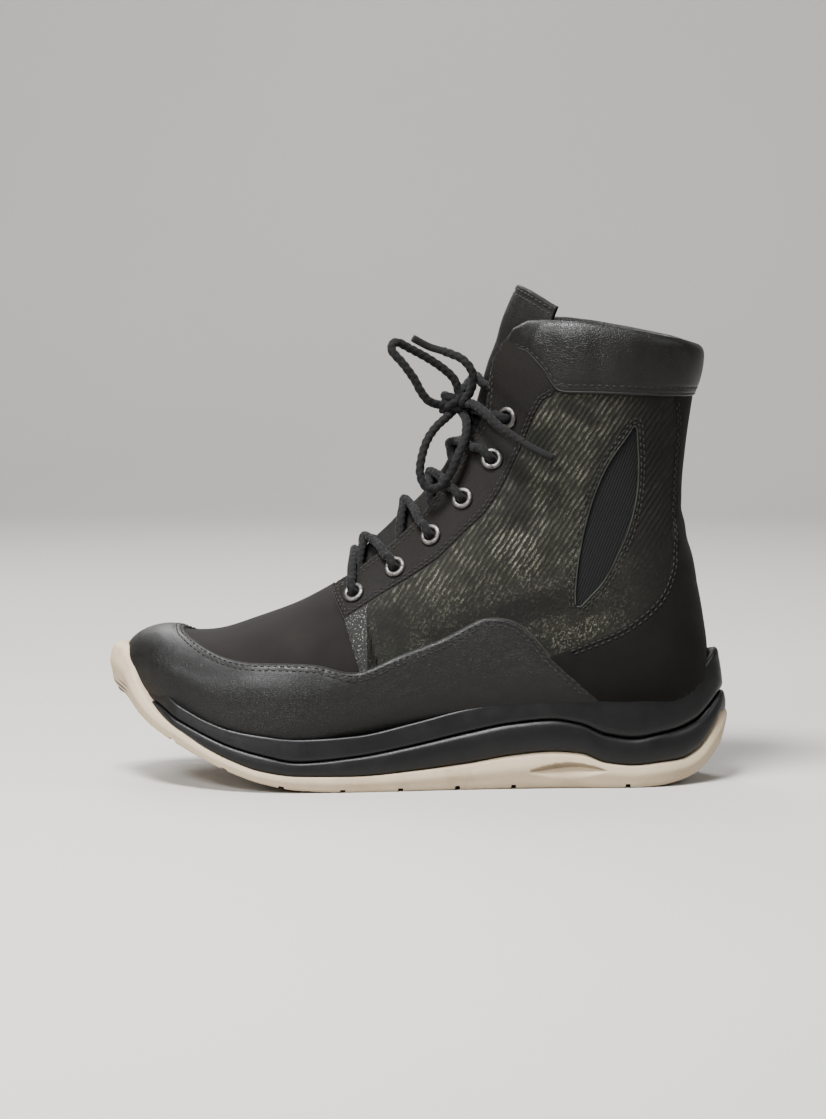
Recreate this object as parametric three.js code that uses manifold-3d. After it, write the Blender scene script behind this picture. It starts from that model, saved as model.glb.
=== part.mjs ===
// Lace-up boot for the left foot: a hollow leather upper on a rocker sole, laced up to a padded cuff.
// Millimetres. +X points to the toe, +Y to the wearer's left (the outer side), +Z up, floor at zero.
import * as THREE from 'three';
import { mergeVertices } from 'three/addons/utils/BufferGeometryUtils.js';
import Module from 'manifold-3d';

const wasm = await Module();
wasm.setup();

// Main sizes of the boot
const LENGTH = 288; // heel back to toe tip of the sole
const BALL_WIDTH = 102; // sole across the ball of the foot
const HEEL_HEIGHT = 31; // heel seat above the floor
const INSTEP_HEIGHT = 91; // crest at the foot of the throat above the floor
const COLLAR_HEIGHT = 212; // front of the collar above the floor

// Thicknesses and fits
const FIT = 0.3; // gap between pieces that touch
const WALL = 2; // upper
const QUARTER_THICK = 1.2; // printed side leather, out from the upper's face
const COUNTER_THICK = 1.6; // heel leather
const RAND_THICK = 2; // toe wrap and facings
const CUFF_BULGE = 4.2; // padding of the cuff, out from the upper's face
const CUFF_FIT = 0.5;
const TONGUE_THICK = 2.5;
const TONGUE_SINK = [0.3, 3.1, 4.1, 4.1]; // how deep the tongue lies, from its middle outwards
const INSOLE_THICK = 4;
const BED_DROP = 4; // how far the inside reaches below the feather edge, which opens the underside

// Sole details
const BUMPER_LAP = 3; // how far the midsole steps in behind the toe bumper
const LUG_WIDTH = 2.4;
const LUG_DEPTH = 2;
const RECESS_DEPTH = 3.6; // eye-shaped hollow in the side of the heel
const RECESS = { at: 0.262, up: 0.26, half: 0.062, tall: 0.115 }; // its place and size as shares

// Lacing
const THROAT_HALF = 13; // half the opening between the facings
const EYELET_ROWS = 6;
const EYELET_PITCH = 22.3;
const FIRST_EYELET = 18;
const EYELET_REACH = 22.5; // eyelet centre from the boot's middle plane
const EYELET_HOLE = 2.5; // radii of the metal ring
const EYELET_BARREL = 3.1;
const EYELET_FLANGE = 5;
const EYELET_RISE = 1; // flange thickness
const LACE = 4; // lace diameter
const LEAD_RISE = 0.75; // from the top eyelets up to where the lace comes out, as a place on the last
const LACE_OVER_EYELET = RAND_THICK + EYELET_RISE + 4 * FIT + LACE / 2; // its middle, out from the last
const LACE_OVER_EDGE = RAND_THICK + 4 * FIT + LACE / 2;
const LACE_ON_TONGUE = LACE / 2 + 3 * FIT;

// How finely the curved faces are cut
const AROUND = 20;
const FORM_PLACES = [
  0, 1, 2, 3, 4, 5, 6, 7, 8, 9, 10, 11, 12, 13.2, 14.5, 15.8, 17, 18.2, 19.5, 21, 22.7, 24.3, 25.7, 27,
]; // where the rings of the last stand, as places in its table
const INSIDE_PLACES = [0, 1.5, 3, 5, 7, 8.75, 10, 12, 14.5, 17, 19.5, 22.7, 25.3, 27]; // and of its inside
const SOLE_STATIONS = 21;
const EYELET_SIDES = 8;
const LACE_SIDES = 8;

const LACE_STEP = 3 * LACE; // from ring to ring along a cord
const SIMPLE = 0.12; // how far a face may leave its true curve

const QUARTER_TURN = Math.PI / 2;
const BIG = 2 * BALL_WIDTH; // clears the whole boot from side to side

// A table: its column names once, then a row for each place.
function table(columns, rows) {
  const names = columns.split(' ');
  return rows.map((row) => Object.fromEntries(names.map((name, k) => [name, row[k]])));
}

// Sections of the last, from the toe tip back over the instep and up the shaft. Each one stands in a
// plane from a back point to a front point: x as shares of the length, heights as levels (0 the heel
// seat, 1 the instep, 2 the collar), widths as shares of the ball, then the widest place as a share
// of the section and the roundness of its lower and upper halves.
const LAST = table('backX backZ frontX frontZ swing lateral medial wide low high', [
  [0.975, 0.292, 0.975, 0.392, -0.088, 0.033, 0.033, 0.5, 2, 2],
  [0.9708, 0.258, 0.9688, 0.45, -0.088, 0.088, 0.088, 0.5, 2.2, 2],
  [0.9611, 0.208, 0.9583, 0.533, -0.084, 0.147, 0.147, 0.48, 2.8, 2.1],
  [0.9427, 0.142, 0.9375, 0.6, -0.078, 0.201, 0.206, 0.46, 3.4, 2.2],
  [0.9132, 0.075, 0.9062, 0.637, -0.064, 0.275, 0.27, 0.44, 4, 2.3],
  [0.8733, -0.025, 0.8646, 0.622, -0.044, 0.343, 0.343, 0.42, 4.5, 2.25],
  [0.8229, -0.133, 0.816, 0.642, -0.025, 0.405, 0.4, 0.4, 5, 2.1],
  [0.7708, -0.195, 0.7535, 0.742, -0.01, 0.441, 0.431, 0.4, 5, 1.95],
  [0.7153, -0.225, 0.691, 0.858, 0, 0.451, 0.441, 0.38, 5, 1.7],
  [0.6597, -0.225, 0.6354, 1, 0, 0.441, 0.417, 0.37, 5, 1.5],
  [0.6007, -0.208, 0.5833, 1.149, 0, 0.417, 0.387, 0.36, 4.6, 1.35],
  [0.5382, -0.175, 0.5278, 1.273, 0, 0.397, 0.363, 0.36, 4.2, 1.35],
  [0.4653, -0.125, 0.4896, 1.36, 0, 0.382, 0.348, 0.36, 4, 1.5],
  [0.3819, -0.075, 0.4653, 1.434, 0, 0.368, 0.343, 0.36, 4, 1.7],
  [0.2917, -0.033, 0.4462, 1.496, 0, 0.358, 0.338, 0.36, 4, 1.9],
  [0.2014, -0.017, 0.4323, 1.554, 0, 0.348, 0.338, 0.36, 3.8, 2.1],
  [0.125, -0.008, 0.4219, 1.603, 0, 0.343, 0.333, 0.36, 3.4, 2.25],
  [0.0712, 0.033, 0.4149, 1.64, 0, 0.338, 0.328, 0.37, 2.9, 2.2],
  [0.0434, 0.183, 0.4097, 1.674, 0, 0.336, 0.328, 0.38, 2.6, 2.15],
  [0.0392, 0.467, 0.4045, 1.711, 0, 0.336, 0.328, 0.4, 2.4, 2.1],
  [0.0451, 0.717, 0.4003, 1.748, 0, 0.338, 0.333, 0.42, 2.3, 2.1],
  [0.058, 1.033, 0.3958, 1.785, 0, 0.343, 0.338, 0.44, 2.3, 2.1],
  [0.0747, 1.198, 0.3924, 1.814, 0, 0.348, 0.343, 0.45, 2.2, 2.15],
  [0.0823, 1.339, 0.3889, 1.843, 0, 0.353, 0.348, 0.46, 2.2, 2.15],
  [0.0764, 1.529, 0.3837, 1.876, 0, 0.361, 0.356, 0.47, 2.2, 2.2],
  [0.066, 1.711, 0.375, 1.93, 0, 0.371, 0.366, 0.48, 2.2, 2.2],
  [0.0549, 1.884, 0.3646, 2.017, 0, 0.38, 0.375, 0.48, 2.2, 2.2],
  [0.0521, 1.975, 0.3417, 2.144, 0, 0.382, 0.377, 0.48, 2.2, 2.2],
]);
const FIRST_THROAT_ROW = 8.75; // front end of the throat, as a place in the table above
const FIRST_TONGUE_ROW = 8.5;

// Outline of the sole from above: shares of the length and of the ball width.
const PLAN = table('at lateral medial', [
  [0, 0, 0], [0.02, 0.137, -0.127], [0.05, 0.216, -0.206], [0.1, 0.304, -0.294],
  [0.15, 0.343, -0.333], [0.3, 0.373, -0.348], [0.42, 0.402, -0.348], [0.55, 0.456, -0.397],
  [0.65, 0.49, -0.456], [0.72, 0.5, -0.497], [0.8, 0.466, -0.492], [0.88, 0.363, -0.446],
  [0.94, 0.225, -0.363], [0.98, 0.059, -0.235], [1, -0.088, -0.088],
]);

// Heights of the sole's layers along the boot, as shares of the heel height: the tread, the top of
// the pale outsole, the seat of the black bands, the groove between them and the lip of the midsole.
const SIDE = table('at tread pale seat groove lip', [
  [0, 0.806, 1.065, 1, 1.323, 1.968],
  [0.007, 0.548, 1.016, 1.016, 1.29, 1.935],
  [0.021, 0.387, 0.823, 0.823, 1.161, 1.823],
  [0.049, 0.177, 0.5, 0.5, 0.935, 1.613],
  [0.076, 0.084, 0.387, 0.387, 0.839, 1.468],
  [0.111, 0.023, 0.361, 0.361, 0.774, 1.371],
  [0.156, 0, 0.329, 0.329, 0.713, 1.358],
  [0.2, 0, 0.371, 0.371, 0.774, 1.335],
  [0.243, 0, 0.516, 0.516, 0.945, 1.345],
  [0.288, 0, 0.545, 0.545, 1.013, 1.358],
  [0.354, 0, 0.49, 0.49, 0.961, 1.294],
  [0.42, 0, 0.387, 0.387, 0.839, 1.19],
  [0.51, 0, 0.29, 0.29, 0.652, 0.984],
  [0.597, 0, 0.229, 0.229, 0.506, 0.816],
  [0.688, 0.039, 0.239, 0.239, 0.435, 0.774],
  [0.75, 0.148, 0.316, 0.316, 0.542, 0.829],
  [0.795, 0.287, 0.458, 0.458, 0.652, 0.894],
  [0.84, 0.465, 0.645, 0.645, 0.813, 1.019],
  [0.875, 0.619, 0.839, 0.839, 0.961, 1.168],
  [0.92, 0.839, 1.097, 1.048, 1.168, 1.387],
  [0.951, 1.032, 1.419, 1.161, 1.29, 1.523],
  [0.969, 1.161, 1.774, 1.226, 1.339, 1.581],
  [0.986, 1.29, 2, 1.258, 1.387, 1.629],
  [1, 1.371, 2.016, 1.29, 1.419, 1.645],
]);
const BUMPER_START = 0.885; // where the bumper begins to lap the midsole
const BUMPER_FULL = 0.93; // where the midsole ends behind it
const LUG_STATIONS = [0.891, 0.806, 0.715, 0.618, 0.527, 0.437, 0.348, 0.166];

// Side profile of each layer: how far in it stands at each height, both as shares of its thickness.
const OUTSOLE_EDGE = table('up inset', [
  [0, 0.2], [0.3, 0.05], [0.6, 0], [0.85, 0.065], [1, 0.24],
]);
const LOWER_EDGE = table('up inset', [
  [0, 0.12], [0.2, 0], [0.8, 0.06], [1, 0.22],
]);
const UPPER_EDGE = table('up inset', [
  [0, 0.08], [0.15, 0], [0.75, 0.09], [1, 0.26],
]);
const LOWER_STEP = 0.8; // how far in each band stands from the sole's outline
const UPPER_STEP = 2.3;

// Seams and edges in the side view: shares of the length and levels as above.
const RAND_EDGE = table('at level', [
  [0.9549, 0.983], [0.9097, 0.883], [0.9021, 0.727], [0.8833, 0.643], [0.8674, 0.59],
  [0.8205, 0.49], [0.7729, 0.445], [0.7118, 0.443], [0.6597, 0.433], [0.6153, 0.388],
  [0.5837, 0.398], [0.5285, 0.513], [0.4653, 0.628], [0.4104, 0.765], [0.3868, 0.795],
  [0.3552, 0.78], [0.3236, 0.688], [0.284, 0.475], [0.208, 0.15], [0.18, 0],
]);
const COUNTER_SEAM = table('at level', [
  [0.1003, 1.8], [0.1003, 1.715], [0.0951, 1.603], [0.0993, 1.454], [0.1021, 1.303],
  [0.1003, 1.172], [0.1063, 1.059], [0.1264, 0.928], [0.1736, 0.738], [0.2285, 0.623],
  [0.2865, 0.52], [0.305, 0.49],
]);
const STAY_EDGE = table('at level', [
  [0.2737, 1.78], [0.2837, 1.73], [0.2997, 1.711], [0.3104, 1.666], [0.3215, 1.598],
  [0.334, 1.522], [0.3497, 1.447], [0.3701, 1.353], [0.3924, 1.277], [0.4257, 1.202],
  [0.4653, 1.107], [0.5128, 1.031], [0.5604, 0.925], [0.5955, 0.817], [0.616, 0.755],
]);
const STAY_TIP = table('at level', [
  [0.616, 0.755], [0.6288, 0.87], [0.6406, 1], [0.6597, 1.107],
]);
const TAB = table('at level', [
  [0.5726, 0.95], [0.5476, 0.4], [0.5885, 0.33], [0.6264, 0.9],
]);
const LEAF = table('at level', [
  [0.1583, 1.623], [0.174, 1.567], [0.1958, 1.492], [0.2146, 1.398], [0.2299, 1.286],
  [0.2406, 1.174], [0.2483, 1.06], [0.2497, 0.878], [0.2292, 0.955], [0.2059, 1.041],
  [0.1854, 1.136], [0.167, 1.249], [0.1562, 1.379], [0.1549, 1.492],
]);
const CUFF_TOP = table('at level', [
  [0.0139, 1.872], [0.0503, 1.912], [0.0896, 1.942], [0.1524, 1.972], [0.2153, 1.998],
  [0.2542, 2.009], [0.3014, 2.013], [0.3247, 2.009], [0.3451, 1.983], [0.3597, 1.933],
  [0.375, 1.868],
]);
const CUFF_SEAM = table('at level', [
  [0.0139, 1.719], [0.0632, 1.723], [0.1368, 1.731], [0.2153, 1.738], [0.2708, 1.74],
  [0.2837, 1.752], [0.301, 1.826], [0.3243, 1.89], [0.3476, 1.912], [0.36, 1.9], [0.375, 1.83],
]);
const TONGUE_BACK = table('at level', [
  [0.74, 0.6], [0.667, 0.583], [0.573, 0.9], [0.486, 1.107], [0.417, 1.223], [0.361, 1.372],
  [0.319, 1.57], [0.278, 1.818], [0.2535, 2.013], [0.2993, 2.082], [0.3417, 2.144],
]);

// Cross section of the cuff: height as a share from its seam to its top, and how far out it stands,
// as a share of the padding. It folds over the top edge of the upper.
const WALL_TOP = 0.78; // top edge of the upper inside the cuff
const CUFF_FOLD = 0.87; // where the cuff turns back over that edge
const CUFF_PROFILE = table('up out', [
  [0, 0.45], [0.14, 0.78], [0.45, 1], [0.78, 0.9], [0.94, 0.55], [1, 0.05], [0.96, -0.42],
  [CUFF_FOLD + 0.02, -0.6],
]);
const CUFF_FULL = 18; // height at which the padding reaches its full bulge
const CUFF_PLACES = [23.5, 26.95]; // where its seam and top lie, as places on the last

// The bow, in the boot's own millimetres from the heel back: a cord's points stay as chosen.
const KNOT = { at: [127.5, 8, 174.9], size: [7, 6.4, 6] };
const BOW = {
  lace_loop_upper: [
    [126, 9, 174], [133, 12, 174], [139, 15, 176], [143, 17, 181], [145.6, 18, 186], [150.6, 19.5, 193],
    [156, 19.5, 199.5], [154, 17.5, 203], [147.7, 14, 200], [138.8, 10.5, 195], [131.7, 8.5, 190],
    [127.3, 7.5, 185.5], [125.5, 7.5, 180], [125.5, 7.5, 174],
  ],
  lace_loop_lower: [
    [128, 9, 171], [131.5, 14, 168], [136, 18, 164], [140, 21, 158], [142.5, 23, 150], [143, 24, 143],
    [140.5, 24.5, 137.5], [135, 24.5, 137], [129.5, 24, 143], [125.5, 23.5, 152], [122.5, 21, 160],
    [122, 16, 167], [124, 10, 171],
  ],
  lace_end_upper: [
    [125, 11, 174], [121.5, 17, 178], [119, 20, 184], [119.5, 21.5, 190], [124, 21.5, 195.5],
    [131, 20, 198.5], [139, 19.5, 201], [146.5, 21, 205],
  ],
  lace_end_rear: [
    [123, 10, 175], [118.7, 20.6, 174.9], [114.2, 27.8, 172], [108.5, 32.4, 166.2],
    [101.2, 35.5, 161], [94.6, 38, 157], [88.9, 40, 154], [83, 41.3, 151.5],
  ],
};

// Reads a column of a table at a share, along a smooth curve that never overshoots its rows.
function read(table, column, share, scale = (value) => value) {
  const rows = table.map((row) => ({ x: scale(row.at), y: row[column] }));
  const x = THREE.MathUtils.clamp(scale(share), rows[0].x, rows[rows.length - 1].x);
  const last = rows.length - 1;
  let i = 0;
  while (i < last - 1 && x > rows[i + 1].x) i += 1;
  const slope = (k) => (rows[k + 1].y - rows[k].y) / (rows[k + 1].x - rows[k].x);
  const tangent = (k) => {
    if (k === 0) return slope(0);
    if (k === last) return slope(last - 1);
    const before = slope(k - 1);
    const after = slope(k);
    return before * after <= 0 ? 0 : (2 * before * after) / (before + after);
  };
  const width = rows[i + 1].x - rows[i].x;
  const s = (x - rows[i].x) / width;
  const rise = rows[i + 1].y - rows[i].y;
  const hermite = s * s * (3 - 2 * s) * rise;
  const lead = s * (1 - s) * (1 - s) * tangent(i) * width;
  const trail = s * s * (s - 1) * tangent(i + 1) * width;
  return rows[i].y + hermite + lead + trail;
}

function alongX(share) {
  return (share - 0.5) * LENGTH;
}

function levelZ(level) {
  if (level < 1) return HEEL_HEIGHT + level * (INSTEP_HEIGHT - HEEL_HEIGHT);
  return INSTEP_HEIGHT + (level - 1) * (COLLAR_HEIGHT - INSTEP_HEIGHT);
}

function pathPoints(table) {
  return table.map((row) => new THREE.Vector2(alongX(row.at), levelZ(row.level)));
}

function lineHeight(table, x) {
  const points = pathPoints(table);
  if (x <= points[0].x) return points[0].y;
  for (let i = 1; i < points.length; i += 1) {
    const [a, b] = [points[i - 1], points[i]];
    if (x <= b.x) return a.y + ((x - a.x) / (b.x - a.x)) * (b.y - a.y);
  }
  return points[points.length - 1].y;
}

// Solids from three.js geometry and back
function toSolid(geometry) {
  const bare = new THREE.BufferGeometry();
  bare.setAttribute('position', geometry.getAttribute('position').clone());
  if (geometry.index) bare.setIndex(geometry.index.clone());
  const merged = mergeVertices(bare, 1e-4);
  const vertProperties = new Float32Array(merged.getAttribute('position').array);
  const triVerts = new Uint32Array(merged.index.array);
  return new wasm.Manifold(new wasm.Mesh({ numProp: 3, vertProperties, triVerts }));
}

function largestPart(solid) {
  const parts = solid.decompose();
  return parts.reduce((best, part) => (part.volume() > best.volume() ? part : best));
}

function toGeometry(solid) {
  const mesh = largestPart(largestPart(solid).simplify(SIMPLE)).getMesh();
  const geometry = new THREE.BufferGeometry();
  geometry.setAttribute('position', new THREE.BufferAttribute(new Float32Array(mesh.vertProperties), 3));
  geometry.setIndex(new THREE.BufferAttribute(new Uint32Array(mesh.triVerts), 1));
  geometry.computeVertexNormals();
  return geometry;
}

function fromGrid(points, triangles) {
  const geometry = new THREE.BufferGeometry();
  const numbers = points.flatMap((p) => [p.x, p.y, p.z]);
  geometry.setAttribute('position', new THREE.Float32BufferAttribute(numbers, 3));
  geometry.setIndex(triangles);
  return toSolid(geometry);
}

// A prism on an outline drawn in the side view, across the boot from one y to another.
function prism(outline, yFrom, yTo) {
  const settings = { depth: yTo - yFrom, bevelEnabled: false };
  const geometry = new THREE.ExtrudeGeometry(new THREE.Shape(outline), settings);
  geometry.rotateX(QUARTER_TURN);
  geometry.translate(0, yTo, 0);
  return toSolid(geometry);
}

// The narrow gap left along a seam, between the two pieces that meet there.
function seamGap(points, yFrom, yTo) {
  const left = [];
  const right = [];
  points.forEach((point, i) => {
    const before = points[Math.max(i - 1, 0)];
    const after = points[Math.min(i + 1, points.length - 1)];
    const along = after.clone().sub(before).normalize();
    const side = new THREE.Vector2(-along.y, along.x).multiplyScalar(FIT / 2);
    left.push(point.clone().add(side));
    right.unshift(point.clone().sub(side));
  });
  return prism([...left, ...right], yFrom, yTo);
}

// The last: one smooth surface from which the upper and everything on it takes its shape
function lastRow(place) {
  const end = LAST.length - 1;
  const i = Math.min(Math.max(Math.floor(place), 0), end - 1);
  const s = place - i;
  const rows = [Math.max(i - 1, 0), i, i + 1, Math.min(i + 2, end)].map((k) => LAST[k]);
  const blend = (key) => {
    const [a, b, c, d] = rows.map((row) => row[key]);
    const cubic = 3 * (b - c) + d - a;
    const square = 2 * a - 5 * b + 4 * c - d;
    return b + 0.5 * s * (c - a + s * (square + s * cubic));
  };
  return Object.fromEntries(Object.keys(LAST[0]).map((key) => [key, blend(key)]));
}

function lastPoint(place, angle, drop = 0) {
  const row = lastRow(place);
  const back = new THREE.Vector2(alongX(row.backX), levelZ(row.backZ) - drop);
  const front = new THREE.Vector2(alongX(row.frontX), levelZ(row.frontZ));
  const [across, upright] = [Math.cos(angle), Math.sin(angle)];
  const power = 2 / (upright > 0 ? row.high : row.low);
  const reach = Math.abs(upright) ** power;
  const rise = upright > 0 ? row.wide + (1 - row.wide) * reach : row.wide * (1 - reach);
  const half = (across > 0 ? row.lateral : row.medial) * BALL_WIDTH;
  const y = row.swing * BALL_WIDTH + Math.sign(across) * half * Math.abs(across) ** power;
  const spot = back.lerp(front, rise);
  return new THREE.Vector3(spot.x, y, spot.y);
}

function lastNormal(place, angle, drop = 0) {
  const step = 0.02;
  const end = LAST.length - 1;
  const before = Math.max(place - step, 0);
  const after = Math.min(place + step, end);
  const along = lastPoint(after, angle, drop).sub(lastPoint(before, angle, drop));
  const around = lastPoint(place, angle + step, drop).sub(lastPoint(place, angle - step, drop));
  return along.cross(around).normalize();
}

function surfacePoint(place, angle, out, drop = 0) {
  return lastPoint(place, angle, drop).addScaledVector(lastNormal(place, angle, drop), out);
}

function angleAcross(place, y) {
  const row = lastRow(place);
  const across = y - row.swing * BALL_WIDTH;
  const half = (across > 0 ? row.lateral : row.medial) * BALL_WIDTH;
  const lean = Math.acos((Math.abs(across) / half) ** (row.high / 2));
  return across > 0 ? lean : Math.PI - lean;
}

// A point over the facings or the tongue, at a distance across and out from the last.
function over(place, y, out) {
  return surfacePoint(place, angleAcross(place, y), out);
}

// A closed solid through rings of points: a ring runs anticlockwise seen against the way it travels.
function sweep(rings) {
  const count = rings[0].length;
  const last = rings.length - 1;
  const at = (i, j) => i * count + (j % count);
  const triangles = [];
  for (let i = 0; i < last; i += 1) {
    for (let j = 0; j < count; j += 1) {
      triangles.push(at(i, j), at(i, j + 1), at(i + 1, j + 1));
      triangles.push(at(i, j), at(i + 1, j + 1), at(i + 1, j));
    }
  }
  for (const [a, b, c] of THREE.ShapeUtils.triangulateShape(flatten(rings[0]), [])) {
    triangles.push(at(0, a), at(0, c), at(0, b));
    triangles.push(at(last, a), at(last, b), at(last, c));
  }
  return fromGrid(rings.flat(), triangles);
}

// A ring of points laid flat in its own plane, for filling its face.
function flatten(ring) {
  const origin = ring[0];
  const across = ring[1].clone().sub(origin).normalize();
  const normal = new THREE.Vector3();
  ring.forEach((point, j) => {
    const next = ring[(j + 1) % ring.length];
    normal.add(point.clone().sub(origin).cross(next.clone().sub(origin)));
  });
  const up = normal.normalize().cross(across);
  return ring.map((p) => new THREE.Vector2(p.clone().sub(origin).dot(across), p.clone().sub(origin).dot(up)));
}

// The last's form grown by a margin, as one closed solid.
function form(out, drop = 0, places = FORM_PLACES) {
  const points = [];
  const triangles = [];
  const rows = places.length;
  for (const place of places) {
    for (let j = 0; j < AROUND; j += 1) {
      points.push(surfacePoint(place, (j / AROUND) * 2 * Math.PI, out, drop));
    }
  }
  const at = (i, j) => i * AROUND + (j % AROUND);
  for (let i = 0; i < rows - 1; i += 1) {
    for (let j = 0; j < AROUND; j += 1) {
      triangles.push(at(i, j), at(i + 1, j), at(i + 1, j + 1));
      triangles.push(at(i, j), at(i + 1, j + 1), at(i, j + 1));
    }
  }
  for (const [i, turn] of [[0, 1], [rows - 1, -1]]) {
    const ring = points.slice(at(i, 0), at(i, 0) + AROUND);
    const centre = ring.reduce((sum, p) => sum.add(p), new THREE.Vector3()).divideScalar(AROUND);
    points.push(centre);
    for (let j = 0; j < AROUND; j += 1) {
      const [a, b] = turn > 0 ? [at(i, j), at(i, j + 1)] : [at(i, j + 1), at(i, j)];
      triangles.push(points.length - 1, a, b);
    }
  }
  return fromGrid(points, triangles);
}

// The sole: rings around its outline, stacked into layers
function planRing() {
  const turned = (share) => Math.acos(1 - 2 * share);
  const ring = [];
  for (let k = 0; k < 2 * SOLE_STATIONS; k += 1) {
    const medial = k <= SOLE_STATIONS;
    const step = medial ? k : 2 * SOLE_STATIONS - k;
    const share = (1 - Math.cos((Math.PI * step) / SOLE_STATIONS)) / 2;
    const y = read(PLAN, medial ? 'medial' : 'lateral', share, turned) * BALL_WIDTH;
    ring.push({ share, x: alongX(share), y });
  }
  return ring;
}

function insetRing(ring, insetAt, heightAt) {
  const count = ring.length;
  return ring.map((spot, i) => {
    const before = ring[(i + count - 1) % count];
    const after = ring[(i + 1) % count];
    const inward = new THREE.Vector2(before.y - after.y, after.x - before.x).normalize();
    const inset = insetAt(spot.share);
    return new THREE.Vector3(spot.x + inward.x * inset, spot.y + inward.y * inset, heightAt(spot.share));
  });
}

function soleHeight(column, share) {
  return read(SIDE, column, share) * HEEL_HEIGHT;
}

// One layer of the sole, from one line of its side to another, grown by a margin when it is a cutter.
function soleLayer(edge, bottom, top, stepIn, grow = 0, bumperLap = 0) {
  const ring = planRing();
  const rings = edge.map(({ up, inset }) => {
    const lap = (share) => bumperLap * THREE.MathUtils.smoothstep(share, BUMPER_START, BUMPER_FULL);
    const low = (share) => soleHeight(bottom, share) + (bottom === 'tread' ? 0 : FIT) - grow;
    const high = (share) => soleHeight(top, share) + grow;
    const insetAt = (share) => stepIn + lap(share) + inset * (high(share) - low(share)) - grow;
    return insetRing(ring, insetAt, (share) => THREE.MathUtils.lerp(low(share), high(share), up));
  });
  const count = ring.length;
  const at = (r, i) => r * count + (i % count);
  const triangles = [];
  for (let r = 0; r < rings.length - 1; r += 1) {
    for (let i = 0; i < count; i += 1) {
      triangles.push(at(r, i), at(r, i + 1), at(r + 1, i + 1));
      triangles.push(at(r, i), at(r + 1, i + 1), at(r + 1, i));
    }
  }
  const cap = (r, a, b, c) => {
    const order = r > 0 ? [a, b, c] : [a, c, b];
    triangles.push(...order.map((corner) => at(r, corner)));
  };
  for (const r of [0, rings.length - 1]) {
    for (let k = 0; k < SOLE_STATIONS; k += 1) {
      if (k < SOLE_STATIONS - 1) cap(r, k, k + 1, count - k - 1);
      if (k > 0 && k < SOLE_STATIONS - 1) cap(r, k, count - k - 1, count - k);
      if (k === SOLE_STATIONS - 1) cap(r, k, k + 1, count - k);
    }
  }
  return fromGrid(rings.flat(), triangles);
}

function block(x0, x1, z0, z1, yFrom, yTo) {
  const outline = [[x0, z0], [x1, z0], [x1, z1], [x0, z1]];
  return prism(outline.map(([x, z]) => new THREE.Vector2(x, z)), yFrom, yTo);
}

function lugCutter(share) {
  const x = alongX(share);
  const top = soleHeight('tread', share) + LUG_DEPTH;
  return block(x - LUG_WIDTH / 2, x + LUG_WIDTH / 2, -BIG, top, -BIG, BIG);
}

function recessCutter(side) {
  const centre = new THREE.Vector2(alongX(RECESS.at), RECESS.up * HEEL_HEIGHT);
  const outline = [];
  for (let k = 0; k < 12; k += 1) {
    const angle = (k / 12) * 2 * Math.PI;
    const dip = Math.sin(angle) * Math.abs(Math.sin(angle)) ** 0.6;
    const z = centre.y + dip * RECESS.tall * HEEL_HEIGHT;
    outline.push(new THREE.Vector2(centre.x + Math.cos(angle) * RECESS.half * LENGTH, z));
  }
  const edge = read(PLAN, side > 0 ? 'lateral' : 'medial', RECESS.at) * BALL_WIDTH;
  const floor = edge - side * RECESS_DEPTH;
  return side > 0 ? prism(outline, floor, BIG) : prism(outline, -BIG, floor);
}

const lastBody = form(0);
const lastCutter = form(FIT);
const inside = form(-WALL, BED_DROP, INSIDE_PLACES);
const throat = throatCutter();
const soleMargin = soleCutter();
const seats = eyeletSeats();

// A black band of the midsole, which stops behind the toe bumper.
function midsoleBand(edge, bottom, top, stepIn, grow = 0) {
  const end = alongX(BUMPER_FULL) + grow;
  const kept = block(-LENGTH, end, -BIG, BIG, -BIG, BIG);
  return soleLayer(edge, bottom, top, stepIn, grow, BUMPER_LAP).intersect(kept);
}

function outsole() {
  let body = soleLayer(OUTSOLE_EDGE, 'tread', 'pale', 0).subtract(lastCutter);
  body = body.subtract(midsoleBand(LOWER_EDGE, 'seat', 'groove', LOWER_STEP, FIT));
  body = body.subtract(midsoleBand(UPPER_EDGE, 'groove', 'lip', UPPER_STEP, FIT));
  for (const share of LUG_STATIONS) body = body.subtract(lugCutter(share));
  return body.subtract(recessCutter(1)).subtract(recessCutter(-1));
}

function midsoleLower() {
  return midsoleBand(LOWER_EDGE, 'seat', 'groove', LOWER_STEP).subtract(lastCutter);
}

function midsoleUpper() {
  return midsoleBand(UPPER_EDGE, 'groove', 'lip', UPPER_STEP).subtract(lastCutter);
}

// Everything on the upper stops just above the sole's lip and bumper.
function soleCutter() {
  const grow = 1.5 * FIT;
  const upperBand = soleLayer(UPPER_EDGE, 'groove', 'lip', UPPER_STEP, grow, BUMPER_LAP);
  const lowerBand = soleLayer(LOWER_EDGE, 'seat', 'groove', LOWER_STEP, grow, BUMPER_LAP);
  const pale = soleLayer(OUTSOLE_EDGE, 'tread', 'pale', 0, grow).translate([0, 0, 2 * FIT]);
  return upperBand.add(lowerBand).add(pale);
}

function throatCutter() {
  const places = [FIRST_THROAT_ROW, 9.3, 10, 11, 12, 13, 14, 16, 18, 20, 22, 24, 25, 26, 27];
  const rings = places.map((place, i) => {
    const row = lastRow(place);
    const front = new THREE.Vector2(alongX(row.frontX), levelZ(row.frontZ));
    const back = new THREE.Vector2(alongX(row.backX), levelZ(row.backZ));
    const along = front.clone().sub(back).setLength(THROAT_HALF);
    const half = i === 0 ? THROAT_HALF * 0.55 : THROAT_HALF;
    const low = front.clone().sub(along);
    const high = front.clone().add(along);
    const corners = [[low, -half], [high, -half], [high, half], [low, half]];
    return corners.map(([p, y]) => new THREE.Vector3(p.x, y, p.y));
  });
  return sweep(rings);
}

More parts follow.
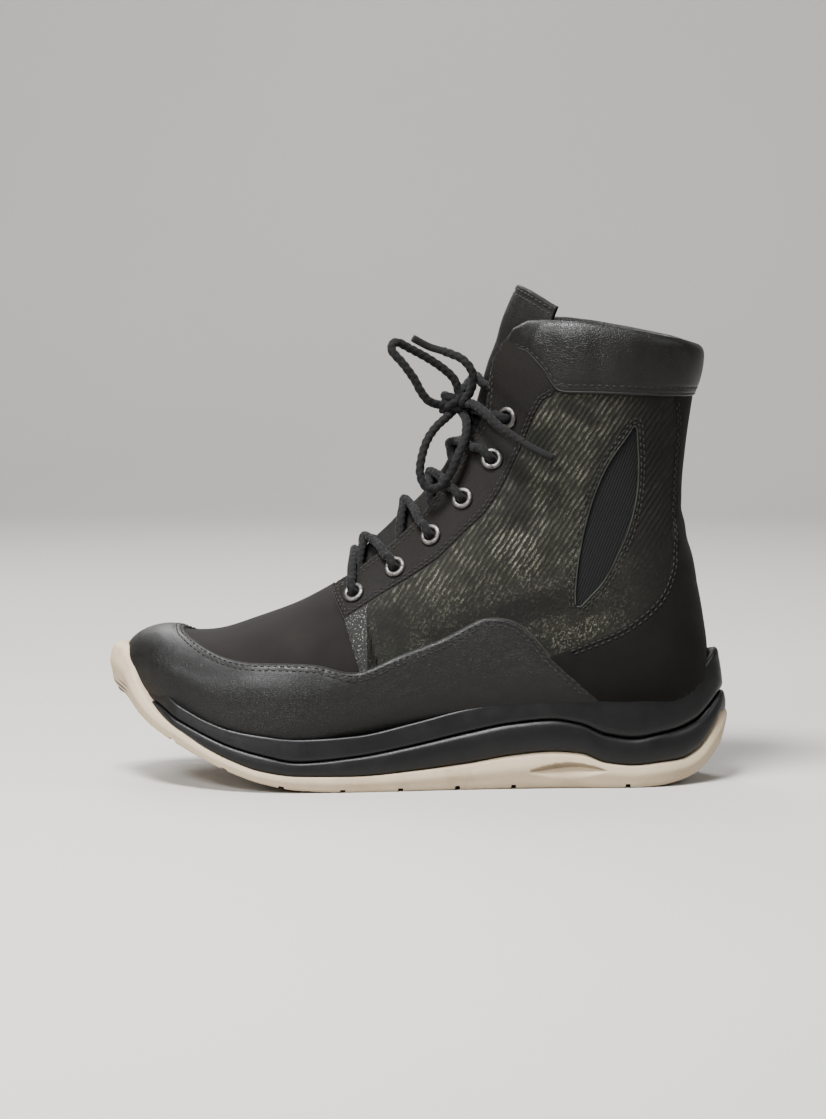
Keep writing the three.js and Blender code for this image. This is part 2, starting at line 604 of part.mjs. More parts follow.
// The upper: last's form, hollowed, with its throat, collar and eyelet holes cut
function belowLine(points) {
  const last = points[points.length - 1];
  const outline = [
    new THREE.Vector2(-LENGTH, -BIG), new THREE.Vector2(-LENGTH, points[0].y), ...points,
    new THREE.Vector2(LENGTH, last.y), new THREE.Vector2(LENGTH, -BIG),
  ];
  return prism(outline.reverse(), -BIG, BIG);
}

function wallTopLine() {
  const places = [...CUFF_TOP, ...CUFF_SEAM].map((row) => alongX(row.at)).sort((a, b) => a - b);
  const distinct = places.filter((x, i) => i === 0 || x - places[i - 1] > FIT);
  return distinct.map((x) => {
    const [low, high] = [lineHeight(CUFF_SEAM, x), lineHeight(CUFF_TOP, x)];
    return new THREE.Vector2(x, THREE.MathUtils.lerp(low, high, WALL_TOP));
  });
}

function upper() {
  let shell = lastBody.subtract(inside).subtract(throat);
  shell = shell.intersect(belowLine(wallTopLine())).subtract(foldCutter());
  for (const seat of seats) shell = shell.subtract(eyeletHole(seat));
  return shell;
}

function insole() {
  const bed = LAST.slice(2, 18).map((row) => new THREE.Vector2(alongX(row.backX), levelZ(row.backZ)));
  bed.push(new THREE.Vector2(-LENGTH, bed[bed.length - 1].y));
  const top = bed.map((p) => new THREE.Vector2(p.x, p.y + INSOLE_THICK)).reverse();
  const slab = prism([...bed, ...top].reverse(), -BIG, BIG);
  return form(-WALL - FIT, BED_DROP, INSIDE_PLACES).intersect(slab).intersect(lastBody);
}

// The tongue: a padded sheet under the facings that swells up between them
function tongue() {
  const reach = TONGUE_SINK.length - 1;
  const rings = [];
  for (const place of INSIDE_PLACES.filter((row) => row >= FIRST_TONGUE_ROW)) {
    const outer = [];
    const inner = [];
    for (let j = reach; j >= -reach; j -= 1) {
      const angle = QUARTER_TURN + (j / AROUND) * 2 * Math.PI;
      const open = place >= FIRST_THROAT_ROW + 1;
      const sink = open ? TONGUE_SINK[Math.abs(j)] : TONGUE_SINK[reach];
      outer.push(surfacePoint(place, angle, -sink, BED_DROP));
      inner.unshift(surfacePoint(place, angle, -sink - TONGUE_THICK, BED_DROP));
    }
    rings.push([...outer, ...inner]);
  }
  const around = [[0.45, 2.4], [0.8, 1.4]];
  const outside = around.map(([at, level]) => new THREE.Vector2(alongX(at), levelZ(level)));
  const shape = prism([...pathPoints(TONGUE_BACK), ...outside].reverse(), -BIG, BIG);
  return sweep(rings).intersect(shape);
}

// Leathers over the upper: each one is a skin of its own thickness, cut to its outline
function skin(thickness) {
  return form(thickness).subtract(lastCutter);
}

function randOutline() {
  const far = alongX(1.1);
  const edge = pathPoints(RAND_EDGE);
  const last = edge[edge.length - 1];
  const front = [new THREE.Vector2(far, 0), new THREE.Vector2(far, edge[0].y)];
  return [...front, ...edge, new THREE.Vector2(last.x, 0)];
}

function counterOutline() {
  const seam = pathPoints(COUNTER_SEAM);
  const rear = alongX(-0.1);
  const foot = pathPoints(RAND_EDGE.slice(-2));
  const floor = new THREE.Vector2(foot[1].x, 0);
  return [new THREE.Vector2(rear, seam[0].y), ...seam, ...foot, floor, new THREE.Vector2(rear, 0)];
}

function stayOutline() {
  const edge = pathPoints([...STAY_EDGE, ...STAY_TIP.slice(1)]);
  const ends = [[0.8, 1.107], [0.8, 2.2], [0.2737, 2.2]];
  return [...edge, ...ends.map(([at, level]) => new THREE.Vector2(alongX(at), levelZ(level)))];
}

const QUARTER_FIELD = table('at level', [
  [0.08, 0.3], [0.58, 0.3], [0.58, 1.2], [0.3, 1.9], [0.08, 1.9],
]);

function halfPrism(outline, side) {
  return side > 0 ? prism(outline, FIT, BIG) : prism(outline, -BIG, -FIT);
}

function seams() {
  const lines = [RAND_EDGE, COUNTER_SEAM, STAY_EDGE, STAY_TIP, TAB.slice(0, 2), TAB.slice(2)];
  return lines.map((table) => seamGap(pathPoints(table), -BIG, BIG));
}

function fitted(piece) {
  let solid = piece.subtract(soleMargin).subtract(cuffMargin);
  for (const gap of seamGaps) solid = solid.subtract(gap);
  return solid;
}

function rand() {
  return fitted(skin(RAND_THICK).intersect(prism(randOutline(), -BIG, BIG)));
}

function heelCounter() {
  const cut = prism(counterOutline(), -BIG, BIG).subtract(prism(randOutline(), -BIG, BIG));
  return fitted(skin(COUNTER_THICK).intersect(cut));
}

function eyestay(side) {
  const cut = halfPrism(stayOutline(), side).intersect(belowLine(pathPoints(CUFF_TOP)));
  let solid = skin(RAND_THICK).intersect(cut).subtract(throat);
  for (const seat of seats) solid = solid.subtract(eyeletHole(seat));
  return fitted(solid);
}

function vampTab(side) {
  const cut = halfPrism(pathPoints(TAB), side);
  const clear = prism(stayOutline(), -BIG, BIG).add(prism(randOutline(), -BIG, BIG));
  return fitted(skin(QUARTER_THICK).intersect(cut).subtract(clear));
}

function quarter(side) {
  let cut = halfPrism(pathPoints(QUARTER_FIELD), side);
  for (const outline of [randOutline(), counterOutline(), stayOutline(), pathPoints(TAB), pathPoints(LEAF)]) {
    cut = cut.subtract(prism(outline, -BIG, BIG));
  }
  let solid = skin(QUARTER_THICK).intersect(cut);
  for (const seat of seats) solid = solid.subtract(eyeletHole(seat));
  return fitted(solid);
}

// The cuff: a padded section carried round the collar from one side of the throat to the other
function placeOnLine(table, angle) {
  let [low, high] = CUFF_PLACES;
  for (let i = 0; i < 24; i += 1) {
    const middle = (low + high) / 2;
    const point = lastPoint(middle, angle);
    if (point.z < lineHeight(table, point.x)) low = middle;
    else high = middle;
  }
  return low;
}

function cuffRings(profileAt) {
  const step = (2 * Math.PI) / AROUND;
  const place = LAST.length - 2;
  const start = angleAcross(place, -THROAT_HALF - FIT) - 2 * Math.PI;
  const end = angleAcross(place, THROAT_HALF + FIT);
  const angles = [start];
  for (let j = Math.ceil(start / step + 0.3); j * step < end - 0.3 * step; j += 1) angles.push(j * step);
  angles.push(end);
  return angles.map((angle) => {
    const foot = placeOnLine(CUFF_SEAM, angle);
    const top = placeOnLine(CUFF_TOP, angle);
    const height = lastPoint(foot, angle).distanceTo(lastPoint(top, angle));
    return profileAt(foot, top, height, angle);
  });
}

function collarCuff() {
  return sweep(cuffRings((foot, top, height, angle) => {
    const bulge = CUFF_BULGE * Math.min(1, height / CUFF_FULL);
    const shape = CUFF_PROFILE.map(({ up, out }) => {
      const far = out < 0 ? out * CUFF_BULGE : Math.max(out * bulge, 2 * CUFF_FIT);
      return [up, far];
    });
    const ring = [...shape, [CUFF_FOLD, CUFF_FIT], [0, CUFF_FIT]];
    return ring.map(([up, out]) => surfacePoint(foot + up * (top - foot), angle, out));
  }));
}

// The space that the cuff takes, with its margin, which the leathers under it leave free.
function cuffCutter() {
  return sweep(cuffRings((foot, top, height, angle) => {
    const low = foot - (2.5 * FIT / height) * (top - foot);
    const corners = [[low, 2 * CUFF_BULGE], [top + 0.2, 2 * CUFF_BULGE], [top + 0.2, -FIT], [low, -FIT]];
    return corners.map(([place, out]) => surfacePoint(place, angle, out));
  }));
}

// What lies above the top edge of the upper, where the cuff folds over it.
function foldCutter() {
  return sweep(cuffRings((foot, top, height, angle) => {
    const low = foot + (CUFF_FOLD - 3 * FIT / height) * (top - foot);
    const high = top + 0.2;
    const corners = [[low, CUFF_BULGE], [high, CUFF_BULGE], [high, -CUFF_BULGE], [low, -CUFF_BULGE]];
    return corners.map(([place, out]) => surfacePoint(place, angle, out));
  }));
}

// Eyelets, an even pitch along each facing
function eyeletSeats() {
  const found = [];
  for (const side of [1, -1]) {
    let place = FIRST_THROAT_ROW;
    let travelled = 0;
    for (let row = EYELET_ROWS; row > 0; row -= 1) {
      const goal = FIRST_EYELET + (EYELET_ROWS - row) * EYELET_PITCH;
      const step = 0.01;
      while (travelled < goal) {
        const here = over(place, side * EYELET_REACH, 0);
        travelled += here.distanceTo(over(place + step, side * EYELET_REACH, 0));
        place += step;
      }
      const angle = angleAcross(place, side * EYELET_REACH);
      found.push({ side, row, place, point: lastPoint(place, angle), normal: lastNormal(place, angle) });
    }
  }
  return found;
}

function facing(direction) {
  return new THREE.Quaternion().setFromUnitVectors(new THREE.Vector3(0, 1, 0), direction);
}

function eyeletHole(seat) {
  const bore = EYELET_BARREL + FIT;
  const geometry = new THREE.CylinderGeometry(bore, bore, 6 * RAND_THICK, EYELET_SIDES);
  geometry.applyQuaternion(facing(seat.normal));
  geometry.translate(seat.point.x, seat.point.y, seat.point.z);
  return toSolid(geometry);
}

function eyelet(seat) {
  const low = -WALL - FIT;
  const under = RAND_THICK + 2 * FIT;
  const top = under + EYELET_RISE;
  const profile = [
    [EYELET_HOLE, low], [EYELET_BARREL, low], [EYELET_BARREL, under], [EYELET_FLANGE, under],
    [EYELET_BARREL, top], [EYELET_HOLE, low],
  ].map(([radius, height]) => new THREE.Vector2(radius, height));
  const mesh = piece(`eyelet_${seat.side > 0 ? 'lateral' : 'medial'}_${seat.row}`,
    new THREE.LatheGeometry(profile, EYELET_SIDES), 'nickel');
  mesh.position.copy(seat.point);
  mesh.quaternion.copy(facing(seat.normal));
  return mesh;
}

// Lace: round cord along a smooth path
function cord(points) {
  const outline = new THREE.Shape();
  outline.absarc(0, 0, LACE / 2, 0, 2 * Math.PI);
  const path = new THREE.CatmullRomCurve3(points);
  const steps = Math.ceil(path.getLength() / LACE_STEP);
  const options = { steps, curveSegments: LACE_SIDES, extrudePath: path, bevelEnabled: false };
  const ring = new THREE.Shape(outline.getPoints(LACE_SIDES).slice(0, LACE_SIDES));
  return toSolid(new THREE.ExtrudeGeometry(ring, options));
}

function seatOf(side, row) {
  return seats.find((seat) => seat.side === side && seat.row === row);
}

// One strand from an eyelet across the tongue, ending at the edge of the other facing.
function strand(side, row) {
  const from = seatOf(side, row).place;
  const to = seatOf(-side, row + 1).place;
  const edge = THROAT_HALF + FIT;
  const stop = THROAT_HALF - LACE / 2 - 2 * FIT;
  const route = [
    [0, EYELET_REACH, LACE_OVER_EYELET],
    [0.1, (EYELET_REACH + edge) / 2, LACE_OVER_EYELET],
    [0.25, edge, LACE_OVER_EDGE],
    [0.38, edge / 2, LACE_ON_TONGUE + FIT],
    [0.5, 0, LACE_ON_TONGUE],
    [0.65, -stop / 2, LACE_ON_TONGUE],
    [0.8, -stop, LACE_ON_TONGUE - FIT],
  ];
  const points = route.map(([s, y, out]) => over(THREE.MathUtils.lerp(from, to, s), side * y, out));
  return cord(points);
}

function laceCross(row) {
  const crossing = strand(1, row).add(strand(-1, row));
  return row > 1 ? crossing : crossing.subtract(knot(FIT));
}

function laceBar() {
  const place = seatOf(1, EYELET_ROWS).place;
  const edge = THROAT_HALF + FIT;
  const half = [
    [EYELET_REACH, LACE_OVER_EYELET],
    [(EYELET_REACH + edge) / 2, LACE_OVER_EYELET],
    [edge, LACE_OVER_EDGE],
    [edge / 2, LACE_ON_TONGUE + FIT],
  ];
  const lateral = half.map(([y, out]) => over(place, y, out));
  const medial = half.map(([y, out]) => over(place, -y, out)).reverse();
  return cord([...lateral, over(place, 0, LACE_ON_TONGUE), ...medial]);
}

function fromHeel([x, y, z]) {
  return new THREE.Vector3(x - LENGTH / 2, y, z);
}

function knot(grow) {
  const geometry = new THREE.SphereGeometry(1, 10, 8);
  geometry.scale(...KNOT.size.map((radius) => radius + grow));
  const centre = fromHeel(KNOT.at);
  geometry.translate(centre.x, centre.y, centre.z);
  return toSolid(geometry);
}

// The lace's way to the knot, out from under the facings beside the top eyelets.
function laceLead() {
  const place = seatOf(1, 1).place + LEAD_RISE;
  const stop = THROAT_HALF - LACE / 2 - 2 * FIT;
  const leads = [1, -1].map((side) => {
    const points = [
      over(place, side * stop, LACE_ON_TONGUE),
      over(place, side * stop / 2, LACE_ON_TONGUE + LACE / 2),
      fromHeel(KNOT.at),
    ];
    return cord(points);
  });
  return leads[0].add(leads[1]).subtract(knot(FIT));
}

function bowPiece(points) {
  return cord(points.map(fromHeel)).subtract(knot(FIT));
}

const cuffMargin = cuffCutter();
const seamGaps = seams();

// Finishes
const FINISHES = {
  rubber: { color: 0xb9b09f, roughness: 0.8, metalness: 0 },
  band: { color: 0x1c1c1d, roughness: 0.55, metalness: 0 },
  nubuck: { color: 0x14120f, roughness: 0.95, metalness: 0 },
  leather: { color: 0x131211, roughness: 0.4, metalness: 0 },
  printed: { color: 0x23231e, roughness: 0.6, metalness: 0.15 },
  lining: { color: 0x191817, roughness: 0.9, metalness: 0 },
  nickel: { color: 0x8f8c88, roughness: 0.35, metalness: 0.9 },
  lace: { color: 0x1d1c1e, roughness: 0.85, metalness: 0 },
};

function piece(name, geometry, finish) {
  const mesh = new THREE.Mesh(geometry, new THREE.MeshStandardMaterial(FINISHES[finish]));
  mesh.name = name;
  return mesh;
}

const boot = new THREE.Group();

function add(name, solid, finish) {
  boot.add(piece(name, toGeometry(solid), finish));
}

add('outsole', outsole(), 'rubber');
add('midsole_lower', midsoleLower(), 'band');
add('midsole_upper', midsoleUpper(), 'band');
add('upper', upper(), 'nubuck');
add('insole', insole(), 'lining');
add('tongue', tongue(), 'leather');
add('rand', rand(), 'leather');
add('heel_counter', heelCounter(), 'nubuck');
add('collar_cuff', collarCuff(), 'leather');
for (const [side, name] of [[1, 'lateral'], [-1, 'medial']]) {
  add(`quarter_${name}`, quarter(side), 'printed');
  add(`eyestay_${name}`, eyestay(side), 'leather');
  add(`vamp_tab_${name}`, vampTab(side), 'printed');
}
for (const seat of seats) boot.add(eyelet(seat));
add('lace_bar', laceBar(), 'lace');
for (let row = 1; row < EYELET_ROWS; row += 1) add(`lace_cross_${row}`, laceCross(row), 'lace');
add('lace_lead', laceLead(), 'lace');
add('lace_knot', knot(0), 'lace');
for (const [name, points] of Object.entries(BOW)) add(name, bowPiece(points), 'lace');

export default boot;
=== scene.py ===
"""Looks of the left lace-up boot: leathers, sole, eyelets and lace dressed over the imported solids."""
from __future__ import annotations

import logging
import math
from dataclasses import dataclass, field
from enum import Enum
from typing import Callable, Iterable, Sequence

import bpy
import numpy as np
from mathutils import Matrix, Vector
from mathutils.bvhtree import BVHTree


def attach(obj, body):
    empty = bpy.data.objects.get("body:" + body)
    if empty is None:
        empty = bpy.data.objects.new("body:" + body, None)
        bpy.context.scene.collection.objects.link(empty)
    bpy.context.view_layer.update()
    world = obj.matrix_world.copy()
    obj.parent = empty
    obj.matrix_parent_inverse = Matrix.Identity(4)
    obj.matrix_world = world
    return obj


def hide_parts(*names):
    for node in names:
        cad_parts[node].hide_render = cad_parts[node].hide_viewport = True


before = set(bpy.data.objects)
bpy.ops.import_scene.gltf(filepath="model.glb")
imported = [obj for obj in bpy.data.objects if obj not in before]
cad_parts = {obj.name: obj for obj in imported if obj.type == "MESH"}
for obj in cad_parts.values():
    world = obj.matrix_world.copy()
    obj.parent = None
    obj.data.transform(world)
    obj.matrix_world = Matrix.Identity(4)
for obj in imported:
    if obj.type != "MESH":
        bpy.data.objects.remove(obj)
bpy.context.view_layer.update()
LOG = logging.getLogger("boot")

MM = 0.001
LENGTH = 288.0
BALL_WIDTH = 102.0
HEEL_HEIGHT = 31.0
INSTEP_HEIGHT = 91.0
COLLAR_HEIGHT = 212.0
THROAT_HALF = 13.0
FIRST_THROAT_ROW = 8.75
EYELET_ROWS = 6
EYELET_PITCH = 22.3
FIRST_EYELET = 18.0
EYELET_REACH = 22.5
LACE = 4.0
LAST_END = 27.0
LINING_MESH = 3.0
SIDE_NAMES = {1: "lateral", -1: "medial"}


class Reach(Enum):
    """Which side of the boot a seam or crease is on."""

    LATERAL = 1
    MEDIAL = -1
    BOTH = 0


@dataclass(frozen=True)
class Table:
    """A table with its column names given once, then a row for each place."""

    names: str
    rows: tuple[tuple[float, ...], ...]

    def column(self, name: str) -> np.ndarray:
        """Returns one column as numbers."""
        place = self.names.split().index(name)
        return np.array([row[place] for row in self.rows], float)


LAST = Table("back_x back_z front_x front_z swing lateral medial wide low high", (
    (0.975, 0.292, 0.975, 0.392, -0.088, 0.033, 0.033, 0.5, 2, 2),
    (0.9708, 0.258, 0.9688, 0.45, -0.088, 0.088, 0.088, 0.5, 2.2, 2),
    (0.9611, 0.208, 0.9583, 0.533, -0.084, 0.147, 0.147, 0.48, 2.8, 2.1),
    (0.9427, 0.142, 0.9375, 0.6, -0.078, 0.201, 0.206, 0.46, 3.4, 2.2),
    (0.9132, 0.075, 0.9062, 0.637, -0.064, 0.275, 0.27, 0.44, 4, 2.3),
    (0.8733, -0.025, 0.8646, 0.622, -0.044, 0.343, 0.343, 0.42, 4.5, 2.25),
    (0.8229, -0.133, 0.816, 0.642, -0.025, 0.405, 0.4, 0.4, 5, 2.1),
    (0.7708, -0.195, 0.7535, 0.742, -0.01, 0.441, 0.431, 0.4, 5, 1.95),
    (0.7153, -0.225, 0.691, 0.858, 0, 0.451, 0.441, 0.38, 5, 1.7),
    (0.6597, -0.225, 0.6354, 1, 0, 0.441, 0.417, 0.37, 5, 1.5),
    (0.6007, -0.208, 0.5833, 1.149, 0, 0.417, 0.387, 0.36, 4.6, 1.35),
    (0.5382, -0.175, 0.5278, 1.273, 0, 0.397, 0.363, 0.36, 4.2, 1.35),
    (0.4653, -0.125, 0.4896, 1.36, 0, 0.382, 0.348, 0.36, 4, 1.5),
    (0.3819, -0.075, 0.4653, 1.434, 0, 0.368, 0.343, 0.36, 4, 1.7),
    (0.2917, -0.033, 0.4462, 1.496, 0, 0.358, 0.338, 0.36, 4, 1.9),
    (0.2014, -0.017, 0.4323, 1.554, 0, 0.348, 0.338, 0.36, 3.8, 2.1),
    (0.125, -0.008, 0.4219, 1.603, 0, 0.343, 0.333, 0.36, 3.4, 2.25),
    (0.0712, 0.033, 0.4149, 1.64, 0, 0.338, 0.328, 0.37, 2.9, 2.2),
    (0.0434, 0.183, 0.4097, 1.674, 0, 0.336, 0.328, 0.38, 2.6, 2.15),
    (0.0392, 0.467, 0.4045, 1.711, 0, 0.336, 0.328, 0.4, 2.4, 2.1),
    (0.0451, 0.717, 0.4003, 1.748, 0, 0.338, 0.333, 0.42, 2.3, 2.1),
    (0.058, 1.033, 0.3958, 1.785, 0, 0.343, 0.338, 0.44, 2.3, 2.1),
    (0.0747, 1.198, 0.3924, 1.814, 0, 0.348, 0.343, 0.45, 2.2, 2.15),
    (0.0823, 1.339, 0.3889, 1.843, 0, 0.353, 0.348, 0.46, 2.2, 2.15),
    (0.0764, 1.529, 0.3837, 1.876, 0, 0.361, 0.356, 0.47, 2.2, 2.2),
    (0.066, 1.711, 0.375, 1.93, 0, 0.371, 0.366, 0.48, 2.2, 2.2),
    (0.0549, 1.884, 0.3646, 2.017, 0, 0.38, 0.375, 0.48, 2.2, 2.2),
    (0.0521, 1.975, 0.3417, 2.144, 0, 0.382, 0.377, 0.48, 2.2, 2.2),
))
PLAN = Table("at lateral medial", (
    (0, 0, 0), (0.02, 0.137, -0.127), (0.05, 0.216, -0.206), (0.1, 0.304, -0.294),
    (0.15, 0.343, -0.333), (0.3, 0.373, -0.348), (0.42, 0.402, -0.348), (0.55, 0.456, -0.397),
    (0.65, 0.49, -0.456), (0.72, 0.5, -0.497), (0.8, 0.466, -0.492), (0.88, 0.363, -0.446),
    (0.94, 0.225, -0.363), (0.98, 0.059, -0.235), (1, -0.088, -0.088),
))
SIDE = Table("at tread pale seat groove lip", (
    (0, 0.806, 1.065, 1, 1.323, 1.968),
    (0.007, 0.548, 1.016, 1.016, 1.29, 1.935),
    (0.021, 0.387, 0.823, 0.823, 1.161, 1.823),
    (0.049, 0.177, 0.5, 0.5, 0.935, 1.613),
    (0.076, 0.084, 0.387, 0.387, 0.839, 1.468),
    (0.111, 0.023, 0.361, 0.361, 0.774, 1.371),
    (0.156, 0, 0.329, 0.329, 0.713, 1.358),
    (0.2, 0, 0.371, 0.371, 0.774, 1.335),
    (0.243, 0, 0.516, 0.516, 0.945, 1.345),
    (0.288, 0, 0.545, 0.545, 1.013, 1.358),
    (0.354, 0, 0.49, 0.49, 0.961, 1.294),
    (0.42, 0, 0.387, 0.387, 0.839, 1.19),
    (0.51, 0, 0.29, 0.29, 0.652, 0.984),
    (0.597, 0, 0.229, 0.229, 0.506, 0.816),
    (0.688, 0.039, 0.239, 0.239, 0.435, 0.774),
    (0.75, 0.148, 0.316, 0.316, 0.542, 0.829),
    (0.795, 0.287, 0.458, 0.458, 0.652, 0.894),
    (0.84, 0.465, 0.645, 0.645, 0.813, 1.019),
    (0.875, 0.619, 0.839, 0.839, 0.961, 1.168),
    (0.92, 0.839, 1.097, 1.048, 1.168, 1.387),
    (0.951, 1.032, 1.419, 1.161, 1.29, 1.523),
    (0.969, 1.161, 1.774, 1.226, 1.339, 1.581),
    (0.986, 1.29, 2, 1.258, 1.387, 1.629),
    (1, 1.371, 2.016, 1.29, 1.419, 1.645),
))
RAND_EDGE = Table("at level", (
    (0.9549, 0.983), (0.9097, 0.883), (0.9021, 0.727), (0.8833, 0.643), (0.8674, 0.59),
    (0.8205, 0.49), (0.7729, 0.445), (0.7118, 0.443), (0.6597, 0.433), (0.6153, 0.388),
    (0.5837, 0.398), (0.5285, 0.513), (0.4653, 0.628), (0.4104, 0.765), (0.3868, 0.795),
    (0.3552, 0.78), (0.3236, 0.688), (0.284, 0.475), (0.208, 0.15), (0.18, 0),
))
COUNTER_SEAM = Table("at level", (
    (0.1003, 1.8), (0.1003, 1.715), (0.0951, 1.603), (0.0993, 1.454), (0.1021, 1.303),
    (0.1003, 1.172), (0.1063, 1.059), (0.1264, 0.928), (0.1736, 0.738), (0.2285, 0.623),
    (0.2865, 0.52), (0.305, 0.49),
))
STAY_EDGE = Table("at level", (
    (0.2737, 1.78), (0.2837, 1.73), (0.2997, 1.711), (0.3104, 1.666), (0.3215, 1.598),
    (0.334, 1.522), (0.3497, 1.447), (0.3701, 1.353), (0.3924, 1.277), (0.4257, 1.202),
    (0.4653, 1.107), (0.5128, 1.031), (0.5604, 0.925), (0.5955, 0.817), (0.616, 0.755),
))
STAY_TIP = Table("at level", (
    (0.616, 0.755), (0.6288, 0.87), (0.6406, 1), (0.6597, 1.107),
))
TAB = Table("at level", (
    (0.5726, 0.95), (0.5476, 0.4), (0.5885, 0.33), (0.6264, 0.9),
))
LEAF = Table("at level", (
    (0.1583, 1.623), (0.174, 1.567), (0.1958, 1.492), (0.2146, 1.398), (0.2299, 1.286),
    (0.2406, 1.174), (0.2483, 1.06), (0.2497, 0.878), (0.2292, 0.955), (0.2059, 1.041),
    (0.1854, 1.136), (0.167, 1.249), (0.1562, 1.379), (0.1549, 1.492),
))
CUFF_TOP = Table("at level", (
    (0.0139, 1.872), (0.0503, 1.912), (0.0896, 1.942), (0.1524, 1.972), (0.2153, 1.998),
    (0.2542, 2.009), (0.3014, 2.013), (0.3247, 2.009), (0.3451, 1.983), (0.3597, 1.933),
    (0.375, 1.868),
))
CUFF_SEAM = Table("at level", (
    (0.0139, 1.719), (0.0632, 1.723), (0.1368, 1.731), (0.2153, 1.738), (0.2708, 1.74),
    (0.2837, 1.752), (0.301, 1.826), (0.3243, 1.89), (0.3476, 1.912), (0.36, 1.9), (0.375, 1.83),
))
TONGUE_BACK = Table("at level", (
    (0.74, 0.6), (0.667, 0.583), (0.573, 0.9), (0.486, 1.107), (0.417, 1.223), (0.361, 1.372),
    (0.319, 1.57), (0.278, 1.818), (0.2535, 2.013), (0.2993, 2.082), (0.3417, 2.144),
))
CUFF_PROFILE = Table("up out", (
    (0, 0.45), (0.14, 0.78), (0.45, 1), (0.78, 0.9), (0.94, 0.55), (1, 0.05), (0.96, -0.42),
    (0.89, -0.6),
))


LUG_STATIONS = (0.891, 0.806, 0.715, 0.618, 0.527, 0.437, 0.348, 0.166)
BUMPER_START = 0.885
BUMPER_FULL = 0.93


def along_x(share: np.ndarray | float) -> np.ndarray | float:
    """Returns x in millimetres for a share of the length."""
    return (share - 0.5) * LENGTH


def level_z(level: np.ndarray | float) -> np.ndarray | float:
    """Returns a height in millimetres for a level: 0 the heel seat, 1 the instep, 2 the collar."""
    return np.interp(level, [-1, 0, 1, 3], [
        2 * HEEL_HEIGHT - INSTEP_HEIGHT, HEEL_HEIGHT, INSTEP_HEIGHT, 2 * COLLAR_HEIGHT - INSTEP_HEIGHT,
    ])


def side_points(table: Table) -> np.ndarray:
    """Returns a seam's points in the side view, x and z in millimetres."""
    return np.stack([along_x(table.column("at")), level_z(table.column("level"))], 1)


def rounded_path(points: np.ndarray, steps: int = 6) -> np.ndarray:
    """Rounds a line of points off with a smooth curve through them.

    Args:
        points: the points, one a row.
        steps: how many pieces each stretch is cut into.

    Returns:
        The points of the curve.
    """
    padded = np.vstack([2 * points[0] - points[1], points, 2 * points[-1] - points[-2]])
    pieces = []
    for i in range(1, len(padded) - 2):
        a, b, c, d = padded[i - 1:i + 3]
        s = np.linspace(0, 1, steps, endpoint=False)[:, None]
        pieces.append(b + 0.5 * s * (c - a + s * (2 * a - 5 * b + 4 * c - d + s * (3 * (b - c) + d - a))))
    pieces.append(points[-1:])
    return np.vstack(pieces)


def travel(points: np.ndarray) -> np.ndarray:
    """Returns the distance along a line to each of its points."""
    return np.concatenate([[0], np.cumsum(np.linalg.norm(np.diff(points, axis=0), axis=1))])


def placed(points: np.ndarray, run: np.ndarray, at: np.ndarray) -> np.ndarray:
    """Returns a line's points at some distances along it, from the distances of its own."""
    return np.stack([np.interp(at, run, points[:, k]) for k in range(3)], 1)


def read(table: Table, name: str, share: np.ndarray, turned: bool = False) -> np.ndarray:
    """Reads a column at some shares, along a smooth curve that never overshoots its rows.

    Args:
        table: the table, with a column called at.
        name: the column to read.
        share: where to read it.
        turned: measure along the half turn that rounds both ends.

    Returns:
        The values there.
    """
    xs, x, ys = table.column("at"), np.asarray(share, float), table.column(name)
    if turned:
        xs, x = (np.arccos(np.clip(1 - 2 * v, -1, 1)) for v in (xs, x))
    x = np.clip(x, xs[0], xs[-1])
    i = np.clip(np.searchsorted(xs, x, side="left") - 1, 0, len(xs) - 2)
    slope = np.diff(ys) / np.diff(xs)
    before, after = slope[:-1], slope[1:]
    inner = np.where(before * after <= 0, 0, 2 * before * after / (before + after + 1e-12))
    tangent = np.concatenate([slope[:1], inner, slope[-1:]])
    width, rise = (xs[i + 1] - xs[i]), (ys[i + 1] - ys[i])
    s = (x - xs[i]) / width
    lead = s * (1 - s) ** 2 * tangent[i] * width
    trail = s * s * (s - 1) * tangent[i + 1] * width
    return ys[i] + s * s * (3 - 2 * s) * rise + lead + trail


